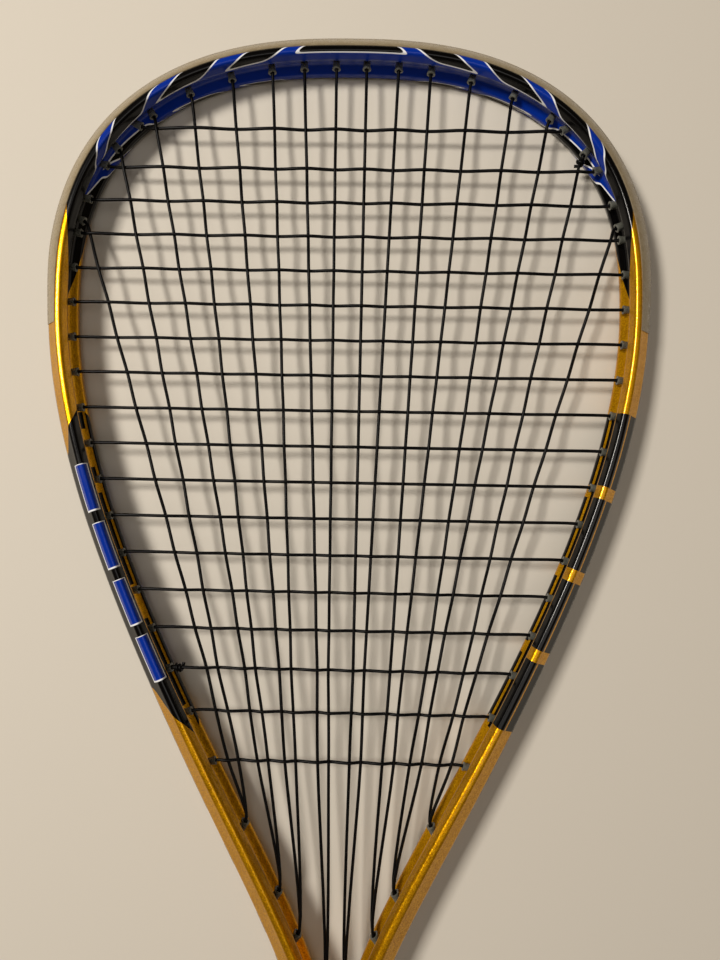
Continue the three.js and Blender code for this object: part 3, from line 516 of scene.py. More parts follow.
# How much further out a panel's lower edge lies on the hoop's far half
UNDERSIDE_SHIFT = 2.0
# Points of the near and of the far end as (across, along), and of the lower edge as (along, across)
LEAVES = (
    (
        [(9.5, -60), (20, -60)],
        [(9.5, 23), (11, 21.3), (13, 18.5), (20, 6)],
        [(0, 10.2), (24, 10.2)],
    ),
    (
        [(6, 38), (7.8, 35.5), (9.5, 31.5), (11.5, 28), (13, 25.6), (20, 12)],
        [(6, 52.5), (7.2, 50.5), (10, 46), (12.5, 41.6), (20, 28)],
        [(34, 7.9), (51, 6.9)],
    ),
    (
        [(6, 63), (7.2, 60.5), (10, 56.8), (12, 53.5), (13.5, 51.5), (20, 41)],
        [(6, 82.5), (8.4, 77.2), (10.8, 72.5), (12.4, 68.7), (20, 55)],
        [(60, 7.1), (82, 6.3)],
    ),
    (
        [(4, 91), (6.2, 88.5), (8.3, 86.5), (10.5, 83.5), (12, 80.8), (13, 77.8), (20, 62)],
        [(4.4, 119), (5.5, 114), (6.5, 110.4), (9, 105.8), (11, 101.6), (13.5, 97), (20, 86)],
        [(88, 6.6), (102, 6.2), (118, 5.2)],
    ),
)
BLUE_END = [
    (0, 127.6), (1.6, 128), (2.8, 127.6), (4, 126), (5, 123), (5.9, 119.5), (6.5, 117.6), (8, 116),
    (9.5, 113.4), (11.7, 110), (13, 107), (20, 96),
]
GOLD_START = [
    (0, 176), (5.6, 176), (6.3, 160), (8, 152), (10, 145), (11.5, 140), (13.5, 134.5), (21, 131),
]
# The left side's panel with its bars, the right side's blocks, and the black on the inner wall
PANEL_START = [(6, 215.4), (8, 216), (11.5, 221), (15, 226.4), (21, 233)]
PANEL_END = [(6, 356), (8, 353), (12, 346), (15, 340), (21, 331)]
LIP, PANEL_EDGE = 5.8, 6.8
BAR_START, BAR_PITCH, BAR_LENGTH, BAR_COUNT = 238.0, 24.0, 19.0, 4
BLOCK_START, BLOCK_PITCH, BLOCK_LENGTH, BLOCK_COUNT = 214.0, 34.5, 29.5, 4
BAR_ACROSS, PINSTRIPE_ACROSS = (8.2, 15.6), (14.2, 15.2)
LEFT_WALL_BLOCKS = ((216, 223), (239, 245), (250, 290), (305, 344))
RIGHT_WALL_BLOCK = (215.5, 351)


def along_line(tree, value, points):
    """The height of a line through points at a value."""
    xs, ys = [x for x, _ in points], [y for _, y in points]
    low, high = min(ys), max(ys)
    span = max(high - low, 1e-6)
    share = add(tree, "DIVIDE", add(tree, "SUBTRACT", value, xs[0]), xs[-1] - xs[0])
    height = add(tree, "ShaderNodeFloatCurve", {"Value": add(tree, "ShaderNodeClamp", share)})
    curve = height.node.mapping.curves[0]
    for k, (x, y) in enumerate(points):
        place = ((x - xs[0]) / (xs[-1] - xs[0]), (y - low) / span)
        if k in (0, len(points) - 1):
            curve.points[min(k, 1)].location = place
        else:
            curve.points.new(*place)
    for point in curve.points:
        point.handle_type = "AUTO_CLAMPED" if len(points) > 2 else "VECTOR"
    height.node.mapping.update()
    return add(tree, "MULTIPLY_ADD", height, span, low)


def joined(tree, operation, values):
    """Many values put through one operation, such as MINIMUM for the smallest of them."""
    made = values[0]
    for value in values[1:]:
        made = add(tree, operation, made, value)
    return made


def inside(tree, depth):
    """One where a depth into a panel, in mm, is above zero."""
    return add(tree, "ShaderNodeMapRange", depth, -EDGE_BLUR, EDGE_BLUR, **SOFT_STEP)


def edge_line(tree, depth, half):
    """One within half a line's width of a panel's edge."""
    size = add(tree, "ABSOLUTE", depth)
    low, high = half - LINE_BLUR, half + LINE_BLUR
    return add(tree, "ShaderNodeMapRange", size, low, high, 1.0, 0.0, **SOFT_STEP)


def between_values(tree, value, low, high):
    """Depth into a range, below zero outside it."""
    above, below = add(tree, "SUBTRACT", value, low), add(tree, "SUBTRACT", high, value)
    return add(tree, "MINIMUM", above, below)


def repeated(tree, value, start, pitch, length, count):
    """Depth into the nearest of equal lengths in a row."""
    local = add(tree, "SUBTRACT", value, start)
    within = add(tree, "WRAP", local, pitch, 0.0)
    depth = add(tree, "MINIMUM", within, add(tree, "SUBTRACT", length, within))
    full = pitch * (count - 1) + length
    whole = add(tree, "MINIMUM", local, add(tree, "SUBTRACT", full, local))
    return add(tree, "MINIMUM", depth, whole)


def leaning(points):
    """How much less a distance square to a line is than the same one along the hoop."""
    shares = []
    for k, (x, _) in enumerate(points):
        (x0, y0), (x1, y1) = points[max(k - 1, 0)], points[min(k + 1, len(points) - 1)]
        shares.append((x, 1 / math.hypot(1, (y1 - y0) / (x1 - x0))))
    return shares


def painted_panels(tree):
    """Masks of the hoop's paint: how much blue, black and white lies over the gold."""
    signed_along, signed_across = on_surface(tree, "measure")
    along, across = add(tree, "ABSOLUTE", signed_along), add(tree, "ABSOLUTE", signed_across)

    def past(points):
        distance = add(tree, "SUBTRACT", along, along_line(tree, across, points))
        return add(tree, "MULTIPLY", distance, along_line(tree, across, leaning(points)))

    def before(points):
        return add(tree, "MULTIPLY", past(points), -1.0)

    def row_of(start, pitch, length, count):
        return repeated(tree, along, start, pitch, length, count)

    far_half = (signed_across, -0.1, 0.1, UNDERSIDE_SHIFT, 0.0)
    underside = add(tree, "ShaderNodeMapRange", *far_half, **SOFT_STEP)
    leaves = []
    for near, far, low in LEAVES:
        above = add(tree, "SUBTRACT", across, along_line(tree, along, low))
        if low is not LEAVES[-1][2]:
            above = add(tree, "SUBTRACT", above, underside)
        depth = add(tree, "SMOOTH_MIN", past(near), above, CORNER_BLEND)
        leaves.append(add(tree, "SMOOTH_MIN", depth, before(far), CORNER_BLEND))
    leaves = joined(tree, "MAXIMUM", leaves)
    blue_end = past(BLUE_END)
    in_head = inside(tree, before(GOLD_START))
    black = add(tree, "MAXIMUM", inside(tree, leaves), inside(tree, blue_end))
    black = add(tree, "MULTIPLY", black, in_head)
    blue = add(tree, "SUBTRACT", in_head, black)
    edges = [edge_line(tree, shape, LINE_HALF_WIDTH) for shape in (leaves, blue_end)]

    left = add(tree, "ShaderNodeMapRange", signed_along, -1.0, 1.0, 1.0, 0.0, **SOFT_STEP)
    over_lip = add(tree, "SUBTRACT", across, PANEL_EDGE)
    under_lip = add(tree, "SUBTRACT", LIP, across)
    panel = joined(tree, "MINIMUM", (past(PANEL_START), before(PANEL_END), over_lip))
    bars_across = between_values(tree, add(tree, "SUBTRACT", across, underside), *BAR_ACROSS)
    bars = row_of(BAR_START, BAR_PITCH, BAR_LENGTH, BAR_COUNT)
    bars = add(tree, "MINIMUM", bars, bars_across)
    wall_blocks = [between_values(tree, along, *ends) for ends in LEFT_WALL_BLOCKS]
    wall_blocks = add(tree, "MINIMUM", joined(tree, "MAXIMUM", wall_blocks), under_lip)
    beside_stripe = add(tree, "MULTIPLY", between_values(tree, across, *PINSTRIPE_ACROSS), -1.0)
    blocks = row_of(BLOCK_START, BLOCK_PITCH, BLOCK_LENGTH, BLOCK_COUNT)
    blocks = joined(tree, "MINIMUM", (blocks, over_lip, beside_stripe))
    right_wall = between_values(tree, along, *RIGHT_WALL_BLOCK)
    right_wall = add(tree, "MINIMUM", right_wall, under_lip)
    left_black = inside(tree, add(tree, "MAXIMUM", panel, wall_blocks))
    right_black = inside(tree, add(tree, "MAXIMUM", blocks, right_wall))
    lower_black = add(tree, "ShaderNodeMix", {0: left, 2: right_black, 3: left_black})
    bars_blue = add(tree, "MULTIPLY", left, inside(tree, bars))
    bars_white = add(tree, "MULTIPLY", left, edge_line(tree, bars, BAR_LINE_HALF_WIDTH))
    lower_black = add(tree, "SUBTRACT", lower_black, bars_blue)
    return {
        "blue": add(tree, "MAXIMUM", blue, bars_blue),
        "black": add(tree, "MAXIMUM", black, lower_black),
        "white": joined(tree, "MAXIMUM", (*edges, bars_white)),
    }


# Metal flakes in the lacquer, finer in the real one and drawn this coarse to show, and their tilt
FLAKE_SIZE, FLAKE_TILT = 0.3, 0.16
# Sizes in mm of marks on lacquer and on plastic, of the strip's creases and wear, and of scuffs
LACQUER_MARK, PLASTIC_MARK, CREASE, STRIP_WEAR, SCUFF = 14.0, 11.0, 1.1, 16.0, 3.0


def lacquer():
    """Gold flake lacquer, sprayed on moulded graphite under a clear coat, with painted panels.

    The gold sparkles and mirrors softly; the panels are smooth, with a thin clear shine.
    """
    material, tree = new_material("gold_flake_lacquer")
    place = place_in_mm(tree)
    flakes = {"Vector": place, "Scale": 1 / FLAKE_SIZE}
    flakes = add(tree, "ShaderNodeTexVoronoi", flakes, out="Color")
    flake = add(tree, "ShaderNodeSeparateColor", flakes)
    colour = add(tree, "ShaderNodeMix", {0: flake, 6: "#B87A03", 7: "#E8AE10"}, **OF_COLOURS)
    masks = painted_panels(tree)
    for name, paint in (("blue", "#042C90"), ("black", "#030304"), ("white", "#E6E8EC")):
        layers = {0: masks[name], 6: colour, 7: paint}
        colour = add(tree, "ShaderNodeMix", layers, **OF_COLOURS)
    bare = add(tree, "SUBTRACT", 1.0, joined(tree, "MAXIMUM", list(masks.values())))
    tilt = add(tree, "ShaderNodeVectorMath", flakes, (0.5, 0.5, 0.5), operation="SUBTRACT")
    tilt = {0: tilt, "Scale": add(tree, "MULTIPLY", bare, FLAKE_TILT)}
    tilt = add(tree, "ShaderNodeVectorMath", tilt, operation="SCALE")
    surface = add(tree, "ShaderNodeNewGeometry", out="Normal")
    normal = add(tree, "ShaderNodeVectorMath", surface, tilt, operation="ADD")
    handled = mottled(tree, place, LACQUER_MARK, 5.0, 0.35, 0.7, 0.18, 0.26)
    return finished(material, {
        "Base Color": colour,
        "Metallic": add(tree, "MULTIPLY", bare, 0.82),
        "Roughness": add(tree, "MULTIPLY_ADD", bare, 0.16, handled),
        "Normal": add(tree, "ShaderNodeVectorMath", normal, operation="NORMALIZE"),
        "Specular IOR Level": 0.12,
        "Coat Weight": 0.22,
        "Coat Roughness": 0.07,
        "Coat Normal": surface,
    })


def plain(name, colour, roughness, more=()):
    """An even surface; more holds further inputs of the shader."""
    material, _ = new_material(name)
    return finished(material, {"Base Color": colour, "Roughness": roughness, **dict(more)})


def grained(name, colour, roughness, grain, depth):
    """A dark plastic or rubber with a grain of a size and depth in mm, and handling marks."""
    material, tree = new_material(name)
    place = place_in_mm(tree)
    paler = mottled(tree, place, PLASTIC_MARK, 6.0, 0.35, 0.75)
    colours = {0: paler, 6: colour, 7: "#2B2A29"}
    rough = (0.3, 0.7, roughness, roughness + 0.12)
    height = {"Vector": place, "Scale": 1 / grain, "Detail": 3.0}
    height = add(tree, "ShaderNodeTexNoise", height)
    return finished(material, {
        "Base Color": add(tree, "ShaderNodeMix", colours, **OF_COLOURS),
        "Roughness": mottled(tree, place, PLASTIC_MARK, 6.0, *rough),
        "Normal": add(tree, "ShaderNodeBump", {"Height": height, "Distance": depth * MM}),
    })


# The strip's small holes: the place of each row across it in mm, and its shift in pitches
HOLE_ROWS = ((5.0, 0.0), (8.0, 0.5), (16.0, 0.0), (19.0, 0.5))
HOLE_PITCH, HOLE_RADIUS, HOLE_BLUR = 5.2, 0.55, 0.15
STRIP_DENT = 0.35


def perforated_strip():
    """Tacky black polyurethane: matt and creased, with two double rows of holes and worn places."""
    material, tree = new_material("tacky_grip_strip")
    place = place_in_mm(tree)
    along, across = on_surface(tree, "strip")
    holes = []
    for row_place, shift in HOLE_ROWS:
        cell = add(tree, "FRACT", add(tree, "MULTIPLY_ADD", along, 1 / HOLE_PITCH, shift))
        aside = add(tree, "MULTIPLY", add(tree, "SUBTRACT", cell, 0.5), HOLE_PITCH)
        beside = add(tree, "SUBTRACT", across, row_place)
        squares = add(tree, "MULTIPLY_ADD", aside, aside, add(tree, "MULTIPLY", beside, beside))
        rim = (HOLE_RADIUS - HOLE_BLUR, HOLE_RADIUS + HOLE_BLUR, 1.0, 0.0)
        away = add(tree, "SQRT", squares)
        holes.append(add(tree, "ShaderNodeMapRange", away, *rim, **SOFT_STEP))
    holes = joined(tree, "MAXIMUM", holes)
    creases = {"Vector": place, "Scale": 1 / CREASE, "Detail": 5.0}
    creases = add(tree, "ShaderNodeTexNoise", creases)
    height = add(tree, "SUBTRACT", add(tree, "MULTIPLY", creases, 0.25), holes)
    paler = mottled(tree, place, STRIP_WEAR, 6.0, 0.4, 0.75)
    colour = add(tree, "ShaderNodeMix", {0: paler, 6: "#18181A", 7: "#2E2D2C"}, **OF_COLOURS)
    # The holes are painted near black: painted shade in their depth, laid over their dents
    colours = {0: holes, 6: colour, 7: "#050505"}
    return finished(material, {
        "Base Color": add(tree, "ShaderNodeMix", colours, **OF_COLOURS),
        "Roughness": mottled(tree, place, STRIP_WEAR, 6.0, 0.3, 0.75, 0.62, 0.8),
        "Normal": add(tree, "ShaderNodeBump", {"Height": height, "Distance": STRIP_DENT * MM}),
    })


def clear_nylon(name, colours, alpha):
    """Clear moulded nylon: lightly scuffed, and clearest where it is seen face on.

    The map "part" is one on barrels, which are greyer.
    """
    material, tree = new_material(name)
    place = place_in_mm(tree)
    pale = mottled(tree, place, SCUFF, 6.0, 0.3, 0.7)
    facing = add(tree, "ShaderNodeLayerWeight", {"Blend": 0.5}, out="Facing")
    edge_on = add(tree, "ShaderNodeMapRange", facing, 0.1, 0.8, **SOFT_STEP)
    shades = []
    for dark, light in (colours, ("#55564F", "#74756D")):
        shades.append(add(tree, "ShaderNodeMix", {0: pale, 6: dark, 7: light}, **OF_COLOURS))
    parts = {0: on_surface(tree, "part")[0], 6: shades[0], 7: shades[1]}
    return finished(material, {
        "Base Color": add(tree, "ShaderNodeMix", parts, **OF_COLOURS),
        "Roughness": mottled(tree, place, SCUFF, 6.0, 0.4, 0.6, 0.2, 0.38),
        "Alpha": add(tree, "ShaderNodeMix", {0: edge_on, 2: alpha, 3: 0.95}),
    })


LACQUER = lacquer()
BUMPER_NYLON = clear_nylon("clear_nylon_bumper", ("#93846A", "#9C8E72"), 0.7)
GROMMET_NYLON = clear_nylon("clear_nylon_grommets", ("#94928C", "#ABA9A2"), 0.7)
# Multifilament in a smooth black coat: nearly black, with a thin soft shine
STRING_COAT = plain("coated_multifilament", "#040405", 0.4, {"Specular IOR Level": 0.12})
# Moulded foam: dark grey and dull
PALLET_FOAM = plain("moulded_foam", "#2E2E30", 0.8)
# Moulded plastic with a fine grain: an even sheen without clear reflections
CAP_PLASTIC = grained("grained_plastic", "#141416", 0.5, 0.5, 0.05)
GRIP_STRIP = perforated_strip()
# Stretched vinyl: smoother and shinier than the strip under it, with slow waves
VINYL_TAPE = grained("vinyl_tape", "#131315", 0.36, 9.0, 0.12)
# Moulded rubber: dull black, with a trace of shine on its edges
COLLAR_RUBBER = grained("smooth_rubber", "#0F0F11", 0.58, 1.2, 0.03)
# Linen under the racket: pale and matt
CLOTH = plain("linen_cloth", "#CFC9BE", 0.9)


# Meshes


def in_scene(name, data):
    made = bpy.data.objects.new(name, data)
    bpy.context.scene.collection.objects.link(made)
    return made


def new_piece(name, points, faces, material, uvs=None, uv_name="measure"):
    """A smooth mesh object from points in mm; uvs holds a pair for each corner of a face."""
    mesh = bpy.data.meshes.new(name)
    mesh.from_pydata([row(*point) for point in points], [], faces)
    mesh.validate()
    if uvs is not None:
        layer = mesh.uv_layers.new(name=uv_name)
        layer.data.foreach_set("uv", np.array(uvs, dtype=np.float32).ravel())
    mesh.materials.append(material)
    mesh.polygons.foreach_set("use_smooth", [True] * len(mesh.polygons))
    return in_scene(name, mesh)


def skin(rings, loop=False):
    """Points and faces through rings of equal count, with both ends closed or joined in a loop."""
    count = len(rings[0])
    points = [point for ring in rings for point in ring]
    faces = []
    for i in range(len(rings) if loop else len(rings) - 1):
        a, b = i * count, (i + 1) % len(rings) * count
        for k in range(count):
            faces.append((a + k, a + (k + 1) % count, b + (k + 1) % count, b + k))
    if not loop:
        last = (len(rings) - 1) * count
        faces.append(tuple(range(count - 1, -1, -1)))
        faces.append(tuple(range(last, last + count)))
    return points, faces


def changed(piece, change):
    made = bmesh.new()
    made.from_mesh(piece.data)
    change(made)
    made.to_mesh(piece.data)
    made.free()
    return piece


def outward(piece):
    """Turns the faces so that they look outwards."""
    return changed(piece, lambda made: bmesh.ops.recalc_face_normals(made, faces=made.faces))


def sharpen(piece, angle):
    """Keeps edges crisp where the faces on both sides turn by more than the angle."""

    def crisp(made):
        for edge in made.edges:
            if len(edge.link_faces) == 2 and edge.calc_face_angle(0) > math.radians(angle):
                edge.smooth = False

    return changed(piece, crisp)


def smooth_line(points, steps):
    """A curve through points that keeps close to them where their distances differ."""
    points = np.array(points, dtype=float)
    ends = np.vstack([2 * points[0] - points[1], points, 2 * points[-1] - points[-2]])
    gaps = np.sqrt(np.maximum(np.linalg.norm(np.diff(ends, axis=0), axis=1), 1e-6))
    made = []
    for i in range(1, len(ends) - 2):
        p0, p1, p2, p3 = ends[i - 1 : i + 3]
        before, own, after = gaps[i - 1 : i + 2]
        leave = p2 - p1 + own * ((p1 - p0) / before - (p2 - p0) / (before + own))
        arrive = p2 - p1 + own * ((p3 - p2) / after - (p3 - p1) / (own + after))
        for k in range(steps):
            t = k / steps
            bend = (2 * (p1 - p2) + leave + arrive) * t**3
            made.append(bend + (3 * (p2 - p1) - 2 * leave - arrive) * t * t + leave * t + p1)
    made.append(points[-1])
    return np.array(made)


def evaluated_mesh(piece):
    graph = bpy.context.evaluated_depsgraph_get()
    return bpy.data.meshes.new_from_object(piece.evaluated_get(graph), depsgraph=graph)


# Upper half of the hoop's section: its hollowed inner side, as distance out and height
HOLLOW_DEPTH, HOLLOW_STEPS_EACH = 2.6, 3
HOLLOW = [(HOLLOW_DEPTH, 0.0), (HOLLOW_DEPTH, 1.2), (2.4, 1.9), (1.3, 3.4), (0.35, 4.5), (0.0, 5.2)]
# Then its crown, as share of the width and height. Past its middle it moves out near the neck
CROWN_MIDDLE, CROWN_STEPS_EACH = 0.3, 4
CROWN = [
    (0.0, 5.9), (0.05, 7.5), (0.1, 8.9), (0.16, 9.6), (0.23, 9.8), (0.33, 9.78), (0.41, 9.45),
    (0.5, 8.6), (0.74, 6.32), (0.96, 4.3),
]
# The bevel at the outer groove's edges
BEVEL_RISE, BEVEL_CUT = 0.3, 0.25
# The neck between the throat and the collar, which the hoop's outer side runs down to
NECK_HALF_WIDTH, NECK_FOOT = 13.8, 145.5
# Steps along the hoop, finer within a way of the throat's middle
HOOP_STEP, FINE_STEP, FINE_WAY = 1.4, 0.35, 14


def hoop_section(width, reach):
    """The section's points; past the width, its top runs on flat out to the reach."""
    upper = [*map(tuple, smooth_line(HOLLOW, HOLLOW_STEPS_EACH)[:-1])]
    for share, height in smooth_line(CROWN, CROWN_STEPS_EACH):
        upper.append((share * width + (reach - width if share > CROWN_MIDDLE else 0), height))
    edge, floor = GROOVE_HEIGHT / 2, reach - GROOVE_DEPTH
    upper += [(reach, edge + BEVEL_RISE), (reach - BEVEL_CUT, edge), (floor, edge), (floor, 0)]
    return upper + [(out, -height) for out, height in upper[-2:0:-1]]


def station(length, section):
    point, normal = wall_at(length)
    return [(point[0] + normal[0] * out, point[1] + normal[1] * out, z) for out, z in section]


def reach_at(length):
    """The hoop's width, or near the throat the way to the neck's sides and foot."""
    width = frame_width_at(length)
    (x, y), (nx, ny) = wall_at(length)
    if abs(x) > NECK_HALF_WIDTH or ny >= 0:
        return width
    to_side = (NECK_HALF_WIDTH - abs(x)) / max(abs(nx), 1e-6)
    to_foot = (y - NECK_FOOT) / -ny
    return max(width, min(to_side, to_foot))


def hoop_lengths(start, end, step):
    count = math.ceil((end - start) / step)
    return [lerp(start, end, i / count) for i in range(count + 1)]


def make_hoop():
    once_round = 2 * HALF_WALL
    lengths = hoop_lengths(0, FINE_WAY, FINE_STEP)
    lengths += hoop_lengths(FINE_WAY, once_round - FINE_WAY, HOOP_STEP)[1:-1]
    lengths += hoop_lengths(once_round - FINE_WAY, once_round, FINE_STEP)[:-1]
    rings, measures = [], []
    for length in lengths:
        section = hoop_section(frame_width_at(length), reach_at(length))
        rings.append(station(length, section))
        across = np.r_[0, np.cumsum(np.hypot(*np.diff(np.array(section), axis=0).T))]
        across[len(section) // 2 + 1 :] -= across[-1] + math.hypot(*section[-1])
        measures.append(across)
    points, faces = skin(rings, loop=True)
    count = len(rings[0])
    half = count // 2
    uvs = []
    for i in range(len(rings)):
        for k in range(count):
            for a, b in ((i, k), (i, k + 1), (i + 1, k + 1), (i + 1, k)):
                along = lengths[a] if a < len(rings) else once_round
                across = measures[a % len(rings)][b % count]
                # The groove's middle ends one half's measure and starts the other's
                uvs.append((HALF_WALL - along, -across if k == b == half else across))
    return outward(new_piece("hoop", points, faces, LACQUER, uvs))


hoop = make_hoop()
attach(hoop, "root")
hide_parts("frame")


# String


def tube_tree():
    """A round tube along a curve: an even step, a round profile and closed ends."""
    tree = bpy.data.node_groups.new("tube_along_line", "GeometryNodeTree")
    for label, kind in (
        ("Geometry", "Geometry"), ("Step", "Float"), ("Radius", "Float"), ("Sides", "Int"),
        ("Material", "Material"),
    ):
        tree.interface.new_socket(label, in_out="INPUT", socket_type="NodeSocket" + kind)
    tree.interface.new_socket("Geometry", in_out="OUTPUT", socket_type="NodeSocketGeometry")
    given = tree.nodes.new("NodeGroupInput").outputs
    line = {"Curve": given["Geometry"], "Length": given["Step"]}
    line = add(tree, "GeometryNodeResampleCurve", line, mode="LENGTH")
    circle = {"Resolution": given["Sides"], "Radius": given["Radius"]}
    circle = add(tree, "GeometryNodeCurvePrimitiveCircle", circle)
    tube = {"Curve": line, "Profile Curve": circle, "Fill Caps": True}
    tube = add(tree, "GeometryNodeCurveToMesh", tube)
    tube = add(tree, "GeometryNodeSetShadeSmooth", {"Geometry": tube})
    tube = add(tree, "GeometryNodeRealizeInstances", {"Geometry": tube})
    tube = {"Geometry": tube, "Material": given["Material"]}
    tube = add(tree, "GeometryNodeSetMaterial", tube)
    connect(tree, tree.nodes.new("NodeGroupOutput"), {"Geometry": tube})
    return tree


TUBE = tube_tree()
STRING_STEP, STRING_SIDES, ROUTE_STEPS_EACH = 1.5, 10, 6


def tube_along(name, route, radius, material):
    """A tube through the points of a route in millimetres, as a plain mesh."""
    points = smooth_line(route, ROUTE_STEPS_EACH)
    curve = bpy.data.curves.new(name, "CURVE")
    curve.dimensions = "3D"
    spline = curve.splines.new("POLY")
    spline.points.add(len(points) - 1)
    for target, point in zip(spline.points, points):
        target.co = (*row(*point), 1)
    base = in_scene(name + "_line", curve)
    modifier = base.modifiers.new("tube", "NODES")
    modifier.node_group = TUBE
    sizes = {"Step": STRING_STEP * MM, "Radius": radius * MM}
    values = {**sizes, "Sides": STRING_SIDES, "Material": material}
    for item in TUBE.interface.items_tree:
        if item.in_out == "INPUT" and item.name in values:
            modifier[item.identifier] = values[item.name]
    mesh = evaluated_mesh(base)
    bpy.data.objects.remove(base)
    mesh.name = name
    return in_scene(name, mesh)


def settle(piece, slot, *nodes):
    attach(piece, "root")
    if nodes:
        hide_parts(*nodes)
    return piece


string = tube_along("woven_string", string_route(), HALF_STRING, STRING_COAT)
settle(string, "string", "string")


# Clear parts in the outer groove

# A barrel's section: distance along its hole and radius, from its end in the hoop to its mouth
BARREL_PROFILE = (
    (HOLLOW_DEPTH + 1.5, 1.35), (HOLLOW_DEPTH - 0.4, 1.42), (1.0, 1.5), (0.1, 1.62),
    (-BARREL_PROUD + 0.35, 1.78), (-BARREL_PROUD + 0.1, 1.76), (-BARREL_PROUD, 1.6),
    (-BARREL_PROUD + 0.05, 1.05), (-BARREL_PROUD + 0.9, 0.85), (-BARREL_PROUD + 0.95, 0.05),
)
BARREL_SIDES = 20
CORNER_CUT = 0.25
# How far from its ends the bumper starts to get thinner
BUMPER_FADE = 34
CLEAR_STEP, CLEAR_CREASE, INSERT_HALF_LENGTH = 2.0, 50, 4.5


def barrel(hole):
    """Points and faces of a grommet barrel; a double hole's is tall enough for two strings."""
    aim, point = hole["aim"], hole["point"]
    across = np.array([-aim[1], aim[0]])
    tall = STACK_HALF if hole["double"] else 0
    rings = []
    for along, radius in BARREL_PROFILE:
        ring = []
        for k in range(BARREL_SIDES):
            angle = 2 * math.pi * (k + 0.5) / BARREL_SIDES
            height = radius * math.sin(angle)
            height += math.copysign(tall, height) if radius > 0.1 else 0
            place = point + aim * along + across * radius * math.cos(angle)
            ring.append((*place, height))
        rings.append(ring)
    return skin(rings)


def towards(here, other, way, most):
    """The place a way from one corner towards the next, at most a share of their distance."""
    step = np.array(other) - here
    size = np.linalg.norm(step)
    return here + step / size * min(way, size * most)


def rounded(profile):
    """Cuts the corners of a closed profile."""
    made = []
    for i, here in enumerate(np.array(profile, dtype=float)):
        for other in (profile[i - 1], profile[(i + 1) % len(profile)]):
            made.append(tuple(towards(here, other, CORNER_CUT, 0.4)))
    return made


def strip_profile(width, _):
    """The section of the side strips and throat inserts, the same along their length."""
    floor = width - GROOVE_DEPTH + CLEARANCE
    top = width + STRIP_PROUD
    outer, inner = GROOVE_HEIGHT / 2 - 0.1, GROOVE_HEIGHT / 2 - 0.9
    half = [(floor, outer), (top, outer), (top, inner), (floor + CHANNEL_WALL, inner)]
    return rounded(half + [(out, -height) for out, height in reversed(half)])


def bumper_profile(width, room):
    """The bumper's section, which gets thinner in the last of its room to the nearer end."""
    thick = lerp(0.15, 1.0, smoothstep(room, 0, BUMPER_FADE))
    floor = width - GROOVE_DEPTH + CLEARANCE
    inner = GROOVE_HEIGHT / 2 - 1.0
    top = width + lerp(0.1, BUMPER_PROUD, thick)
    half = [
        (floor, 3.2),
        (width + 0.05, 3.2),
        (width + 0.08, 3.95),
        (width * 0.74 + 0.08, 6.42),
        (width * 0.43, 9.36),
        (width * 0.435 + 0.12 * thick, lerp(9.38, 9.52, thick)),
        (width * 0.46 + 0.3 * thick, lerp(9.12, 9.46, thick)),
        (width * 0.74 + lerp(0.1, 0.62, thick), lerp(6.46, 6.98, thick)),
        (width + lerp(0.1, 0.78, thick), lerp(3.97, 4.6, thick)),
        (top, 3.6),
        (top, inner + 0.35),
        (top - 0.3, inner),
        (floor + CHANNEL_WALL, inner),
    ]
    return half + [(out, -height) for out, height in reversed(half)]


def along_groove(name, start, end, profile, holes, material):
    """A clear strip from one length to another, with its barrels as part of it."""
    rings = []
    for length in hoop_lengths(start, end, CLEAR_STEP):
        section = profile(frame_width_at(length), min(length - start, end - length))
        rings.append(station(length, section))
    points, faces = skin(rings)
    parts = [(0.0, 0.0)] * sum(len(face) for face in faces)
    for hole in holes:
        more, other = barrel(hole)
        parts += [(1.0, 0.0)] * sum(len(face) for face in other)
        faces += [tuple(k + len(points) for k in face) for face in other]
        points += more
    piece = outward(new_piece(name, points, faces, material, parts, "part"))
    return sharpen(piece, CLEAR_CREASE)


BUMPER_END = wall_length_at_place(BUMPER_END_PLACE)
STRIP_END = wall_length_at_place(STRIP_END_PLACE)
SIDE_HOLES = [hole for cross in CROSSES for hole in (cross["left"], cross["right"])]


def in_bumper(hole):
    return BUMPER_END < around(hole["outer"]) < 2 * HALF_WALL - BUMPER_END


head_holes = [main["top"] for main in MAINS] + [hole for hole in SIDE_HOLES if in_bumper(hole)]
side_holes = [hole for hole in SIDE_HOLES if not in_bumper(hole)]
bumper_ends = (BUMPER_END, 2 * HALF_WALL - BUMPER_END)
bumper = along_groove("bumper_guard", *bumper_ends, bumper_profile, head_holes, BUMPER_NYLON)
settle(bumper, "bumper_plastic", "head_bumper")
for side, start, end in (
    ("right", STRIP_END, bumper_ends[0] - CLEARANCE),
    ("left", bumper_ends[1] + CLEARANCE, 2 * HALF_WALL - STRIP_END),
):
    holes = [hole for hole in side_holes if (hole["length"] > 0) == (side == "right")]
    strip = along_groove(side + "_clear_strip", start, end, strip_profile, holes, GROMMET_NYLON)
    settle(strip, "grommet_plastic", side + "_grommet_strip")
for i in range(0, MAIN_COUNT, 2):
    hole = MAINS[i]["foot"]
    ends = [around(hole["outer"]) + side * INSERT_HALF_LENGTH for side in (-1, 1)]
    name = f"throat_insert_{i // 2 + 1}"
    insert = along_groove(name, *ends, strip_profile, [hole], GROMMET_NYLON)
    settle(insert, "grommet_plastic", f"throat_grommet_{i // 2 + 1}")


# Handle

# The octagon's flat share of its width, and steps in each round corner of a loft and of the grip
FLAT_SHARE, LOFT_STEPS, GRIP_STEPS = 0.62, 6, 8


